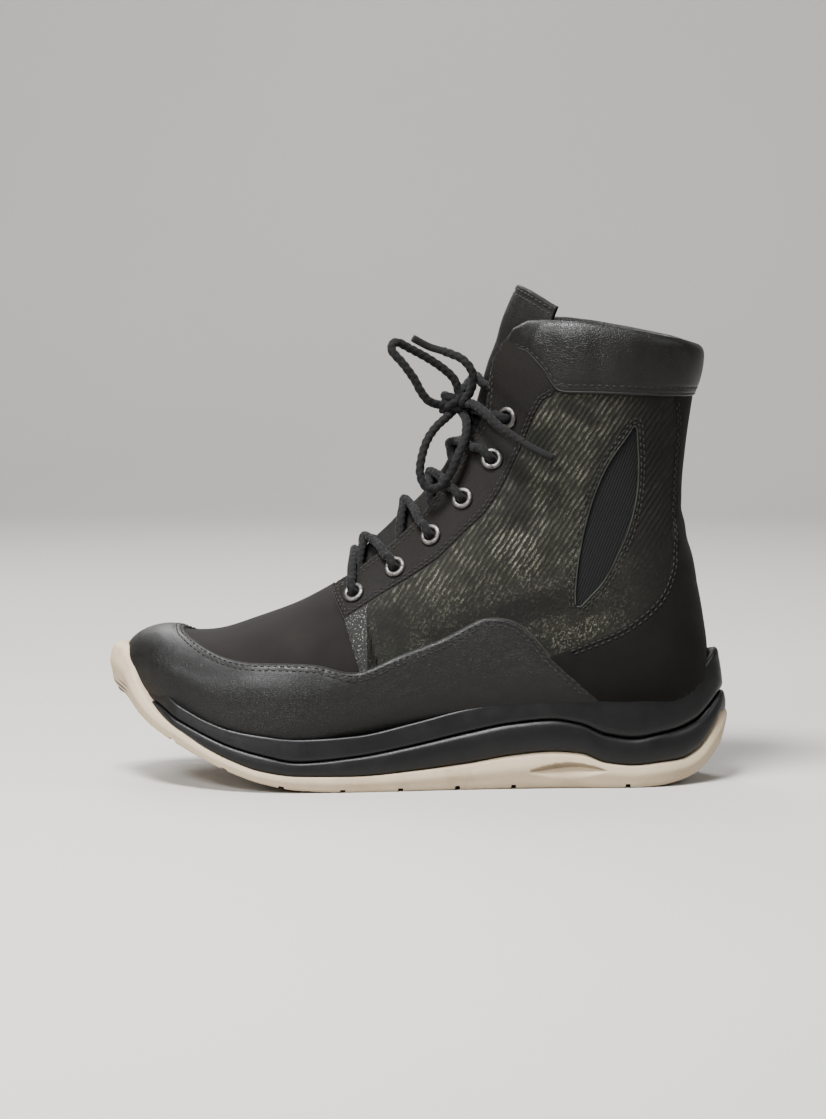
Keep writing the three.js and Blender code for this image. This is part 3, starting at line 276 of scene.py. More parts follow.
class Last:
    """The smooth form from which the upper and everything on it takes its shape."""

    def __init__(self, table: Table) -> None:
        """Keeps the table's columns."""
        self.columns = {name: table.column(name) for name in table.names.split()}

    def row(self, place: np.ndarray) -> dict[str, np.ndarray]:
        """Returns each column's value at some places between the rows.

        Args:
            place: rows of the last's table, fractions included.

        Returns:
            The values by column name.
        """
        end = len(self.columns["wide"]) - 1
        i = np.clip(np.floor(place).astype(int), 0, end - 1)
        s = place - i
        found = {}
        for name, values in self.columns.items():
            a, b = values[np.maximum(i - 1, 0)], values[i]
            c, d = values[i + 1], values[np.minimum(i + 2, end)]
            found[name] = b + 0.5 * s * (c - a + s * (2 * a - 5 * b + 4 * c - d + s * (3 * (b - c) + d - a)))
        return found

    def point(self, place: np.ndarray, angle: np.ndarray, drop: float = 0.0) -> np.ndarray:
        """Returns points of the form.

        Args:
            place: rows of the table, fractions included.
            angle: turn around the section, 0 outwards, a quarter turn to the front.
            drop: how far the underside is lowered.

        Returns:
            The points in millimetres, with a last axis of three.
        """
        place, angle = np.broadcast_arrays(np.asarray(place, float), np.asarray(angle, float))
        row = self.row(place)
        across, upright = np.cos(angle), np.sin(angle)
        power = 2 / np.where(upright > 0, row["high"], row["low"])
        reach = np.abs(upright) ** power
        rise = np.where(upright > 0, row["wide"] + (1 - row["wide"]) * reach, row["wide"] * (1 - reach))
        half = np.where(across > 0, row["lateral"], row["medial"]) * BALL_WIDTH
        y = row["swing"] * BALL_WIDTH + np.sign(across) * half * np.abs(across) ** power
        back = np.stack([along_x(row["back_x"]), level_z(row["back_z"]) - drop], -1)
        front = np.stack([along_x(row["front_x"]), level_z(row["front_z"])], -1)
        spot = back + (front - back) * rise[..., None]
        return np.stack([spot[..., 0], y, spot[..., 1]], -1)

    def normal(self, place: np.ndarray, angle: np.ndarray, drop: float = 0.0) -> np.ndarray:
        """Returns the outward directions at the same points.

        Args:
            place: rows of the last's table, fractions included.
            angle: turns around the section.
            drop: how far the underside is lowered.

        Returns:
            Directions of length one.
        """
        step = 0.02
        place = np.asarray(place, float)
        after, before = np.minimum(place + step, LAST_END), np.maximum(place - step, 0)
        along = self.point(after, angle, drop) - self.point(before, angle, drop)
        around = self.point(place, angle + step, drop) - self.point(place, angle - step, drop)
        out = np.cross(along, around)
        return out / np.maximum(np.linalg.norm(out, axis=-1, keepdims=True), 1e-9)

    def surface(self, place: np.ndarray, angle: np.ndarray, out: np.ndarray | float) -> np.ndarray:
        """Returns points at a distance out from the form."""
        shift = np.asarray(out, float)[..., None] * self.normal(place, angle)
        return self.point(place, angle) + shift

    def over(self, place: float, y: float, out: float) -> np.ndarray:
        """Returns a point over the front, at a distance across and out.

        Args:
            place: the row of the last's table.
            y: distance across, from the middle.
            out: distance out from the form.

        Returns:
            The point in millimetres.
        """
        row = self.row(np.array([place]))
        across = y - row["swing"][0] * BALL_WIDTH
        half = (row["lateral"] if across > 0 else row["medial"])[0] * BALL_WIDTH
        lean = math.acos(min(1.0, (abs(across) / half) ** (row["high"][0] / 2)))
        return self.surface(np.array([place]), np.array([lean if across > 0 else math.pi - lean]), out)[0]


def polygon_distance(points: np.ndarray, outline: np.ndarray) -> np.ndarray:
    """Returns how far points of the side view lie inside an outline, negative outside it.

    Args:
        points: x and z of each point.
        outline: the outline's corners.

    Returns:
        A distance for each point.
    """
    best = np.full(len(points), 1e9)
    inside = np.zeros(len(points), bool)
    for a, b in zip(outline, np.roll(outline, -1, 0)):
        edge, rel = b - a, points - a
        s = np.clip((rel @ edge) / max(edge @ edge, 1e-9), 0, 1)
        best = np.minimum(best, np.linalg.norm(rel - s[:, None] * edge, axis=1))
        crosses = (a[1] > points[:, 1]) != (b[1] > points[:, 1])
        rise = b[1] - a[1] if abs(b[1] - a[1]) > 1e-9 else 1e-9
        inside ^= crosses & (points[:, 0] < a[0] + (points[:, 1] - a[1]) / rise * edge[0])
    return np.where(inside, best, -best)


def line_distance(points: np.ndarray, line: np.ndarray) -> tuple[np.ndarray, np.ndarray]:
    """Returns each point's distance from an open line and its share along it.

    Args:
        points: x and z of each point.
        line: the line's points.

    Returns:
        The distances and the shares.
    """
    best, share = np.full(len(points), 1e9), np.zeros(len(points))
    lengths = np.linalg.norm(np.diff(line, axis=0), axis=1)
    starts = np.concatenate([[0], np.cumsum(lengths)])
    for k, (a, b) in enumerate(zip(line[:-1], line[1:])):
        edge, rel = b - a, points - a
        s = np.clip((rel @ edge) / max(edge @ edge, 1e-9), 0, 1)
        gap = np.linalg.norm(rel - s[:, None] * edge, axis=1)
        nearer = gap < best
        best = np.where(nearer, gap, best)
        share = np.where(nearer, (starts[k] + s * lengths[k]) / starts[-1], share)
    return best, share


@dataclass(frozen=True)
class Crease:
    """A soft trough or ridge laid over the leather.

    points are x from the heel's back and height, in millimetres. depth is negative for a ridge.
    """

    points: tuple[tuple[float, float], ...]
    width: float
    depth: float
    reach: Reach = Reach.BOTH

    def height(self, base: np.ndarray) -> np.ndarray:
        """Returns how far the crease moves each point of the surface.

        Args:
            base: the surface's points.

        Returns:
            A height for each point, negative in a trough.
        """
        line = rounded_path(np.array(self.points) - [LENGTH / 2, 0], 5)
        gap, share = line_distance(base[:, [0, 2]], line)
        fade = np.sin(np.clip(share, 0.02, 0.98) * math.pi) ** 0.6
        off = gap / self.width
        trough = np.exp(-off ** 2) - 0.45 * np.exp(-(off - 2) ** 2)
        side = 1.0 if self.reach is Reach.BOTH else (np.sign(base[:, 1]) == self.reach.value).astype(float)
        return -self.depth * trough * fade * side


@dataclass
class Sheet:
    """Triangles over the last with named values at their corners, cut along lines of those values."""

    base: np.ndarray
    normal: np.ndarray
    faces: np.ndarray
    values: dict[str, np.ndarray]

    def split(self, name: str, level: float = 0.0) -> None:
        """Adds an edge along the line where a value reaches a level.

        Args:
            name: the value.
            level: the level.
        """
        f = self.values[name] - level
        f = np.where(np.abs(f) < 1e-5, 1e-5, f)
        up = f[self.faces] > 0
        count = up.sum(1)
        mixed = (count == 1) | (count == 2)
        tri, flag = self.faces[mixed], up[mixed]
        lone = np.where(flag.sum(1) == 1, flag.argmax(1), (~flag).argmax(1))
        tri = np.take_along_axis(tri, (lone[:, None] + np.arange(3)) % 3, 1)
        a, b, c = tri.T
        edges = np.sort(np.concatenate([np.stack([a, b], 1), np.stack([a, c], 1)]), 1)
        unique, inverse = np.unique(edges, axis=0, return_inverse=True)
        inverse = inverse.reshape(-1)
        p, q = unique.T
        t = f[p] / (f[p] - f[q])
        start = len(self.base)

        def between(values: np.ndarray) -> np.ndarray:
            """Returns some values with those of the new corners added."""
            share = t if values.ndim == 1 else t[:, None]
            return np.concatenate([values, values[p] * (1 - share) + values[q] * share])

        self.base, self.normal = between(self.base), between(self.normal)
        self.values = {key: between(v) for key, v in self.values.items()}
        ab, ac = start + inverse[:len(a)], start + inverse[len(a):]
        added = [np.stack(rows, 1) for rows in ((a, ab, ac), (ab, b, c), (ab, c, ac))]
        self.faces = np.concatenate([self.faces[~mixed], *added])

    def trim(self, name: str) -> None:
        """Cuts along the line where a value is nought and keeps the side where it is more.

        Args:
            name: the value.
        """
        self.split(name)
        self.faces = self.faces[self.values[name][self.faces].mean(1) > 0]
        used, inverse = np.unique(self.faces, return_inverse=True)
        self.faces = inverse.reshape(-1, 3)
        self.base, self.normal = self.base[used], self.normal[used]
        self.values = {key: v[used] for key, v in self.values.items()}

    def line(self, name: str, level: float) -> list[np.ndarray]:
        """Returns the chains of corners along the line where a value reaches a level.

        Args:
            name: the value.
            level: the level.

        Returns:
            The corners of each chain, in order.
        """
        self.split(name, level)
        on = np.abs(self.values[name] - level) < 2e-5
        links: dict[int, set[int]] = {}
        for k in range(3):
            pair = self.faces[:, [k, (k + 1) % 3]]
            for a, b in pair[on[pair].all(1)]:
                links.setdefault(int(a), set()).add(int(b))
                links.setdefault(int(b), set()).add(int(a))
        chains, seen = [], set()
        for start in sorted(links, key=lambda v: (len(links[v]) != 1, v)):
            if start in seen:
                continue
            chain = [start]
            seen.add(start)
            while True:
                following = [v for v in links[chain[-1]] if v not in seen]
                if not following:
                    break
                chain.append(following[0])
                seen.add(following[0])
            if len(chain) > 4:
                chains.append(np.array(chain))
        return chains


class Skin:
    """A fine net over the last, from which each leather is cut."""

    def __init__(self, last: Last, step: float) -> None:
        """Lays rings and columns over the last about a step apart.

        Args:
            last: the form.
            step: the net's mesh, in millimetres.
        """
        self.last = last
        dense = np.linspace(0, LAST_END, 1600)
        turns = np.radians(np.arange(-90, 270, 30))
        moved = np.linalg.norm(np.diff(last.point(dense[:, None], turns[None]), axis=0), axis=2).max(1)
        travel = np.concatenate([[0], np.cumsum(moved)])
        self.places = np.interp(np.linspace(0, travel[-1], int(travel[-1] / step)), travel, dense)
        ease = np.linspace(0, 1, 90)
        ease = ease ** 3 / (ease ** 3 + (1 - ease) ** 3)
        columns = []
        for quarter, size in enumerate((80, 115, 115, 80)):
            angles = math.pi / 2 * (quarter - 1 + ease)
            points = last.point(self.places[:, None], angles[None])
            steps = np.linalg.norm(np.diff(points, axis=1), axis=2)
            run = np.concatenate([np.zeros((len(points), 1)), np.cumsum(steps, 1)], 1)
            share = np.linspace(0, 1, int(size / step) + 1)[:-1]
            columns.append(np.stack([np.interp(share * r[-1], r, angles) for r in run]))
        self.angle = np.concatenate(columns, 1)
        self.place = np.repeat(self.places[:, None], self.angle.shape[1], 1)
        self.base = last.point(self.place, self.angle)
        self.normal = last.normal(self.place, self.angle)
        self.count, self.around = self.angle.shape
        i, j = np.meshgrid(np.arange(self.count - 1), np.arange(self.around), indexing="ij")
        a, b = i * self.around + j, i * self.around + (j + 1) % self.around
        c, d = b + self.around, a + self.around
        quads = [np.stack(rows, -1).reshape(-1, 3) for rows in ((a, d, c), (a, c, b))]
        self.faces = np.concatenate(quads)

    def side_field(self, outline: np.ndarray) -> np.ndarray:
        """Returns how far each point of the net lies inside an outline of the side view."""
        flat = self.base.reshape(-1, 3)[:, [0, 2]]
        return polygon_distance(flat, outline).reshape(self.count, self.around)

    def true_distance(self, values: np.ndarray) -> np.ndarray:
        """Turns a value that is nought on a line into the distance from that line over the surface.

        Args:
            values: a value for each point of the net.

        Returns:
            The distances, with the sign kept.
        """
        pu, fu = (np.gradient(v, axis=0) for v in (self.base, values))
        pv, fv = ((np.roll(v, -1, 1) - np.roll(v, 1, 1)) / 2 for v in (self.base, values))
        e, f, g = (pu * pu).sum(-1), (pu * pv).sum(-1), (pv * pv).sum(-1)
        slope = (g * fu ** 2 - 2 * f * fu * fv + e * fv ** 2) / np.maximum(e * g - f * f, 1e-9)
        return values / np.sqrt(np.clip(slope, 0.04, 1.0))

    def sheet(self, keep: np.ndarray, **values: np.ndarray) -> Sheet:
        """Cuts a sheet from the net.

        Args:
            keep: a value for each point of the net, above nought where the sheet is.
            values: other values that the sheet carries.

        Returns:
            The sheet, trimmed along the line where keep is nought.
        """
        carried = {"keep": keep, "place": self.place, "angle": self.angle, **values}
        flat = {name: np.asarray(v, float).reshape(-1) for name, v in carried.items()}
        near = (flat["keep"][self.faces] > 0).any(1)
        made = Sheet(self.base.reshape(-1, 3), self.normal.reshape(-1, 3), self.faces[near], flat)
        made.trim("keep")
        return made


class Socket:
    """A socket of a material's tree, on which sums are written as plain Python."""

    def __init__(self, tree: Tree, socket: bpy.types.NodeSocket) -> None:
        """Keeps the tree and its socket."""
        self.tree, self.socket = tree, socket

    def _sum(self, operation: str, first: object, second: object = None, clamp: bool = False) -> Socket:
        """Returns a Math node of one or two values."""
        inputs = {0: first} if second is None else {0: first, 1: second}
        return self.tree.node("ShaderNodeMath", {"operation": operation, "use_clamp": clamp}, inputs)

    def __add__(self, other: object) -> Socket:
        """Returns the sum."""
        return self._sum("ADD", self, other)

    __radd__ = __add__

    def __sub__(self, other: object) -> Socket:
        """Returns the difference."""
        return self._sum("SUBTRACT", self, other)

    def __rsub__(self, other: object) -> Socket:
        """Returns the difference the other way."""
        return self._sum("SUBTRACT", other, self)

    def __mul__(self, other: object) -> Socket:
        """Returns the product."""
        return self._sum("MULTIPLY", self, other)

    __rmul__ = __mul__

    def __truediv__(self, other: object) -> Socket:
        """Returns the quotient."""
        return self._sum("DIVIDE", self, other)

    def __rtruediv__(self, other: object) -> Socket:
        """Returns the quotient the other way."""
        return self._sum("DIVIDE", other, self)

    def least(self, other: object) -> Socket:
        """Returns the smaller of two values."""
        return self._sum("MINIMUM", self, other)

    def most(self, other: object) -> Socket:
        """Returns the larger of two values."""
        return self._sum("MAXIMUM", self, other)

    def clamped(self) -> Socket:
        """Returns the value kept from 0 to 1."""
        return self._sum("ADD", self, 0.0, clamp=True)

    def wave(self) -> Socket:
        """Returns the sine, moved to 0 to 1."""
        return self._sum("SINE", self) * 0.5 + 0.5

    def between(self, low: float, high: float) -> Socket:
        """Returns how far the value is from low to high, as a smooth step from 0 to 1."""
        inputs = {"Value": self, "From Min": low, "From Max": high}
        return self.tree.node("ShaderNodeMapRange", {"interpolation_type": "SMOOTHSTEP"}, inputs)


class Tree:
    """The node tree of one material."""

    def __init__(self, name: str) -> None:
        """Starts an empty material with its shader.

        Args:
            name: the material's name.
        """
        self.material = bpy.data.materials.new(name)
        self.material.use_nodes = True
        self.nodes, self.links = self.material.node_tree.nodes, self.material.node_tree.links
        self.nodes.clear()
        self.end = self.nodes.new("ShaderNodeOutputMaterial")
        self.shader = self.nodes.new("ShaderNodeBsdfPrincipled")
        self.links.new(self.shader.outputs[0], self.end.inputs[0])

    def set(self, node: bpy.types.Node, inputs: dict[object, object]) -> None:
        """Gives a node's sockets their values or links.

        Args:
            node: the node.
            inputs: values or links, by the socket's name or place.
        """
        for key, value in inputs.items():
            if isinstance(value, Socket):
                self.links.new(value.socket, node.inputs[key])
            else:
                node.inputs[key].default_value = value

    def node(self, kind: str, settings: dict[str, object], inputs: dict[object, object],
             output: object = 0) -> Socket:
        """Adds a node.

        Args:
            kind: its type.
            settings: its own settings, set first.
            inputs: values or links of its sockets.
            output: which output is used.

        Returns:
            That output.
        """
        made = self.nodes.new(kind)
        for key, value in settings.items():
            setattr(made, key, value)
        self.set(made, inputs)
        return Socket(self, made.outputs[output])

    def place(self) -> Socket:
        """Returns where a point lies, in metres."""
        return self.node("ShaderNodeTexCoord", {}, {}, "Object")

    def split(self, vector: Socket) -> tuple[Socket, Socket, Socket]:
        """Returns a vector's three numbers."""
        first = self.node("ShaderNodeSeparateXYZ", {}, {0: vector})
        return tuple(Socket(self, output) for output in first.socket.node.outputs)

    def joined(self, x: object, y: object, z: object) -> Socket:
        """Returns a vector of three numbers."""
        return self.node("ShaderNodeCombineXYZ", {}, {0: x, 1: y, 2: z})

    def noise(self, vector: Socket, scale: float, detail: float = 3.0, rough: float = 0.55) -> Socket:
        """Returns a soft random value."""
        inputs = {"Vector": vector, "Scale": scale, "Detail": detail, "Roughness": rough}
        return self.node("ShaderNodeTexNoise", {}, inputs)

    def cells(self, vector: Socket, scale: float, feature: str = "F1") -> Socket:
        """Returns the distance to the nearest of scattered points, or to the edge between them."""
        return self.node("ShaderNodeTexVoronoi", {"feature": feature}, {"Vector": vector, "Scale": scale})

    def stretched(self, vector: Socket, by: tuple[float, float, float]) -> Socket:
        """Returns a vector times three numbers."""
        return self.node("ShaderNodeVectorMath", {"operation": "MULTIPLY"}, {0: vector, 1: by})

    def mix(self, share: object, a: object, b: object) -> Socket:
        """Returns a colour between two."""
        return self.node("ShaderNodeMix", {"data_type": "RGBA"}, {0: share, 6: a, 7: b}, 2)

    def bump(self, height: Socket, depth: float) -> Socket:
        """Returns a normal raised by a height, depth in metres."""
        return self.node("ShaderNodeBump", {}, {"Strength": 1.0, "Distance": depth, "Height": height})

    def finish(self, **inputs: object) -> bpy.types.Material:
        """Sets the shader's sockets, named with underscores, and returns the material."""
        self.set(self.shader, {key.replace("_", " "): value for key, value in inputs.items()})
        return self.material


Colour = tuple[float, float, float, float]


def shade(red: float, green: float, blue: float) -> Colour:
    """Returns an opaque colour."""
    return (red, green, blue, 1.0)


def lighter(colour: Colour, times: float) -> Colour:
    """Returns a colour some times as light."""
    return shade(*(times * part for part in colour[:3]))


class Finish:
    """What a piece is made of. Each kind builds its material once."""

    name: str

    def material(self) -> bpy.types.Material:
        """Returns the material, built the first time it is asked for."""
        name = f"{self.name}_look"
        return bpy.data.materials.get(name) or self.build(Tree(name))

    def build(self, tree: Tree) -> bpy.types.Material:
        """Builds the material."""
        raise NotImplementedError


@dataclass(frozen=True)
class GrainLeather(Finish):
    """Smooth leather with a pebble grain and a soft gloss."""

    name: str
    dark: Colour
    light: Colour
    gloss: float
    grain: float
    depth: float
    shine: float
    wrinkle: float = 0.0

    def build(self, tree: Tree) -> bpy.types.Material:
        """Builds pebbles, fine pores, slow changes of gloss and the stretched wrinkles behind the ball.

        Args:
            tree: the material's empty tree.

        Returns:
            The material.
        """
        place = tree.place()
        x, y, z = tree.split(place)
        warp = tree.node("ShaderNodeVectorMath", {"operation": "MULTIPLY_ADD"}, {
            0: tree.node("ShaderNodeTexNoise", {}, {"Vector": place, "Scale": 260.0, "Detail": 2.0}, "Color"),
            1: (0.0012, 0.0012, 0.0012), 2: place})
        pebbles = tree.cells(warp, self.grain, "DISTANCE_TO_EDGE")
        crown = pebbles.between(0.0, 0.16)
        pores = tree.noise(place, 4200.0, 4.0, 0.6)
        slow = tree.noise(place, 26.0, 3.0)
        folds = tree.noise(tree.stretched(place, (1.0, 1.0, 2.2)), 120.0, 4.0, 0.62)
        drawn = tree.noise(tree.joined(x * 0.35 + z * 0.2, y * 0.4, z * 1.5 - x * 0.2), 950.0, 3.0, 0.6)
        behind_ball = (0.055 - x).between(0.0, 0.05)
        height = crown * 0.62 + pores * 0.28 + folds * 0.35 + drawn * behind_ball * self.wrinkle
        colour = tree.mix((crown * 0.35 + slow * 0.65).clamped(), self.dark, self.light)
        rough = (slow - 0.5) * 0.16 + (1 - crown) * 0.14 + (pores - 0.5) * 0.12 + self.gloss
        return tree.finish(Base_Color=colour, Roughness=rough.clamped(), Normal=tree.bump(height, self.depth),
                           Specular_IOR_Level=self.shine)


@dataclass(frozen=True)
class Nubuck(Finish):
    """Matte leather with a fine nap, brushed here and there."""

    name: str
    dark: Colour
    light: Colour
    sheen: float = 0.25
    rough: float = 0.9
    weave: float = 0.0

    def build(self, tree: Tree) -> bpy.types.Material:
        """Builds the nap, with a fine weave where the leather is on cloth.

        Args:
            tree: the material's empty tree.

        Returns:
            The material.
        """
        place = tree.place()
        nap = tree.noise(place, 3200.0, 5.0, 0.7)
        brushed = tree.noise(place, 38.0, 4.0, 0.6)
        x, y, z = tree.split(place)
        threads = ((x * 5200.0).wave() + (z * 5200.0).wave()) * self.weave
        colour = tree.mix((brushed * 0.7 + nap * 0.3).between(0.3, 0.75), self.dark, self.light)
        height = nap * 0.6 + brushed * 0.5 + threads
        rough = ((nap - 0.5) * 0.15 + self.rough).clamped()
        return tree.finish(Base_Color=colour, Roughness=rough, Normal=tree.bump(height, 0.00012),
                           Specular_IOR_Level=0.14, Sheen_Weight=self.sheen, Sheen_Roughness=0.35,
                           Sheen_Tint=shade(0.75, 0.72, 0.7))


@dataclass(frozen=True)
class Patch:
    """A soft slanting oval on the side: its middle from the heel's back, half sizes in metres, and rise."""

    x: float
    z: float
    long: float
    short: float
    rise: float = 0.0

    def mask(self, x: Socket, z: Socket) -> Socket:
        """Returns 1 in its middle, falling to 0 at its edge.

        Args:
            x: the point's x.
            z: its height.

        Returns:
            The mask.
        """
        sine, cosine = math.sin(math.radians(self.rise)), math.cos(math.radians(self.rise))
        dx, dz = x - (self.x - LENGTH * MM / 2), z - self.z
        along, across = (dx * cosine + dz * sine) / self.long, (dz * cosine - dx * sine) / self.short
        return 1 - (along * along + across * across).between(0.15, 1.0)


@dataclass(frozen=True)
class PrintedSuede(Finish):
    """Dark suede with fine slanted ridges and a broken metallic print on them."""

    name: str
    ground: Colour
    print_dark: Colour
    print_light: Colour
    bare: Colour
    glints: tuple[Patch, ...]
    dulled: tuple[Patch, ...]
    pitch: float = 0.0023
    rise: float = 57.0

    def patches(self, x: Socket, z: Socket, found: tuple[Patch, ...]) -> Socket:
        """Returns how much of a point lies in any of some patches.

        Args:
            x: the point's x.
            z: its height.
            found: the patches.

        Returns:
            The largest of their masks.
        """
        masks = [patch.mask(x, z) for patch in found]
        whole = masks[0]
        for mask in masks[1:]:
            whole = whole.most(mask)
        return whole

    def build(self, tree: Tree) -> bpy.types.Material:
        """Builds the ridges, their breaks, and the glints of the print, fading towards the heel.

        Args:
            tree: the material's empty tree.

        Returns:
            The material.
        """
        place = tree.place()
        x, y, z = tree.split(place)
        sine, cosine = math.sin(math.radians(self.rise)), math.cos(math.radians(self.rise))
        over, along = x * sine + z * cosine, z * sine - x * cosine
        drift = (tree.noise(place, 26.0, 2.0) - 0.5) * 7.0 + (tree.noise(place, 300.0, 2.0) - 0.5) * 2.6
        worn = (z + x * 0.25).between(0.062, 0.112)
        rubbed = tree.noise(place, 820.0, 4.0, 0.7)
        ridge = (over * (2 * math.pi / self.pitch) + drift).wave()
        ridge = ridge * worn + rubbed.between(0.38, 0.7) * (1 - worn)
        broken = tree.noise(tree.joined(over, along * 0.2, y * 0.3), 1100.0, 3.0, 0.7)
        cloud = tree.noise(place, 34.0, 4.0, 0.62)
        speck = tree.cells(place, 2100.0).between(0.62, 0.2)
        glint, dull = self.patches(x, z, self.glints), self.patches(x, z, self.dulled)
        fade = ((x + 0.108).between(0.0, 0.035) * 0.85 + 0.15) * (1 - dull * 0.85)
        fade = (fade + glint * 0.9).least(1.35)
        lit = ridge.between(0.2, 0.85) * broken.between(0.38, 0.64) * (cloud.between(0.32, 0.6) + glint * 0.5)
        lit = (lit * (speck * 0.75 + 0.25) * fade).clamped()
        mossy = tree.noise(place, 90.0, 3.0).between(0.38, 0.62)
        tint = tree.mix((mossy + glint * 0.6).clamped(), self.print_dark, self.print_light)
        ground = tree.mix(cloud.between(0.3, 0.7), self.ground, lighter(self.ground, 2.1))
        ground = tree.mix((1 - fade).clamped() * 0.8, ground, self.bare)
        colour = tree.mix(lit, ground, tint)
        nap = tree.noise(place, 3600.0, 4.0, 0.7)
        height = ridge * 0.75 + broken * 0.45 + nap * 0.3
        return tree.finish(Base_Color=colour, Roughness=(0.8 - lit * 0.42).clamped(), Metallic=lit * 0.75,
                           Normal=tree.bump(height, 0.0003), Specular_IOR_Level=0.16)


@dataclass(frozen=True)
class GlitterSuede(Finish):
    """Suede scattered with small glinting flakes."""

    name: str
    ground: Colour
    flake: Colour

    def build(self, tree: Tree) -> bpy.types.Material:
        """Builds the flakes and the nap between them.

        Args:
            tree: the material's empty tree.

        Returns:
            The material.
        """
        place = tree.place()
        pick = tree.noise(place, 900.0, 2.0, 0.6)
        flakes = tree.cells(place, 1150.0).between(0.42, 0.2) * pick.between(0.42, 0.58)
        nap = tree.noise(place, 3200.0, 4.0, 0.7)
        colour = tree.mix(flakes, self.ground, self.flake)
        return tree.finish(Base_Color=colour, Roughness=(0.85 - flakes * 0.5).clamped(),
                           Metallic=flakes * 0.7, Specular_IOR_Level=0.3,
                           Normal=tree.bump(flakes * 0.8 + nap * 0.5, 0.0002))


@dataclass(frozen=True)
class Elastic(Finish):
    """Ribbed elastic."""

    name: str
    colour: Colour

    def build(self, tree: Tree) -> bpy.types.Material:
        """Builds the ribs and the fine cross threads.

        Args:
            tree: the material's empty tree.

        Returns:
            The material.
        """
        place = tree.place()
        x, y, z = tree.split(place)
        ribs = ((x * 0.93 + z * 0.36) * 5200.0).wave()
        cross = ((z * 0.93 - x * 0.36) * 9000.0).wave()
        fuzz = tree.noise(place, 5000.0, 3.0)
        colour = tree.mix((ribs * 0.6 + fuzz * 0.3).clamped(), self.colour, lighter(self.colour, 2.0))
        return tree.finish(Base_Color=colour, Roughness=(fuzz * 0.1 + 0.82).clamped(),
                           Normal=tree.bump(ribs * 0.8 + cross * 0.25 + fuzz * 0.2, 0.00022),
                           Specular_IOR_Level=0.12, Sheen_Weight=0.02)


@dataclass(frozen=True)
class MouldedRubber(Finish):
    """Moulded rubber or foam with a fine mould texture, dust and scuffs."""

    name: str
    colour: Colour
    dirt: Colour
    rough: float
    dust: float = 0.3
    low_dirt: float = 0.0
    ribs: float = 0.0

    def build(self, tree: Tree) -> bpy.types.Material:
        """Builds the mould texture, with dirt that gathers low down and, where ribs is set, painted shade in
        the slots between the bumper's ribs.

        Args:
            tree: the material's empty tree.

        Returns:
            The material.
        """
        place = tree.place()
        x, y, z = tree.split(place)
        fine = tree.noise(place, 2600.0, 3.0, 0.6)
        cloud = tree.noise(place, 60.0, 5.0, 0.65)
        scuff = tree.noise(tree.joined(x * 0.25, y, z * 1.6), 700.0, 4.0, 0.7).between(0.6, 0.78)
        low = (1 - z / 0.016).clamped() * self.low_dirt
        mask = (cloud.between(0.45, 0.8) * self.dust + scuff * self.dust * 0.6 + low * cloud).clamped()
        colour = tree.mix(mask, self.colour, self.dirt)
        height = fine * 0.6 + cloud * 0.5
        if self.ribs:
            bumper = x.between(0.133, 0.1365) * z.between(0.027, 0.030) * (1 - z.between(0.044, 0.047))
            slot = ((z - x * 0.5) * (2 * math.pi / self.ribs)).wave().between(0.55, 0.8) * bumper
            # painted shade: the slots between the bumper's ribs are coloured near-black, standing in for the
            # shade in their gaps
            colour = tree.mix(slot * 0.9, colour, shade(0.03, 0.025, 0.02))
            height = height - slot * 4.0
        rough = (fine * 0.1 + cloud * 0.12 + mask * 0.2 + (self.rough - 0.11)).clamped()
        return tree.finish(Base_Color=colour, Roughness=rough, Specular_IOR_Level=0.3,
                           Normal=tree.bump(height, 0.00012))


@dataclass(frozen=True)
class AgedNickel(Finish):
    """Turned metal gone dull in its hollows."""

    name: str
    bright: Colour
    dull: Colour

    def build(self, tree: Tree) -> bpy.types.Material:
        """Builds tarnish and small scratches.

        Args:
            tree: the material's empty tree.

        Returns:
            The material.
        """
        place = tree.place()
        tarnish = tree.noise(place, 420.0, 4.0, 0.6)
        scratch = tree.noise(place, 5200.0, 3.0, 0.7)
        mask = tarnish.between(0.42, 0.68)
        return tree.finish(Base_Color=tree.mix(mask, self.bright, self.dull), Metallic=0.95,
                           Roughness=(mask * 0.22 + scratch * 0.12 + 0.32).clamped(),
                           Normal=tree.bump(scratch, 0.00006))


@dataclass(frozen=True)
class Yarn(Finish):
    """Braided lace or sewing thread."""

    name: str
    dark: Colour
    light: Colour
    fibre: float = 6000.0
    rough: float = 0.8

    def build(self, tree: Tree) -> bpy.types.Material:
        """Builds the fibres.

        Args:
            tree: the material's empty tree.

        Returns:
            The material.
        """
        place = tree.place()
        fibre = tree.noise(place, self.fibre, 4.0, 0.7)
        slow = tree.noise(place, 180.0, 2.0)
        colour = tree.mix((fibre * 0.7 + slow * 0.3).between(0.3, 0.7), self.dark, self.light)
        return tree.finish(Base_Color=colour, Roughness=(fibre * 0.15 + self.rough - 0.08).clamped(),
                           Normal=tree.bump(fibre, 0.00014), Specular_IOR_Level=0.16,
                           Sheen_Weight=0.06, Sheen_Roughness=0.4)


@dataclass(frozen=True)
class PaleFloor(Finish):
    """The studio's plain floor."""

    name: str = "pale_floor"

    def build(self, tree: Tree) -> bpy.types.Material:
        """Builds an even, nearly smooth surface.

        Args:
            tree: the material's empty tree.

        Returns:
            The material.
        """
        soft = tree.noise(tree.place(), 3.0, 3.0)
        colour = tree.mix(soft, shade(0.42, 0.408, 0.388), shade(0.455, 0.443, 0.422))
        return tree.finish(Base_Color=colour, Roughness=0.8, Specular_IOR_Level=0.25)


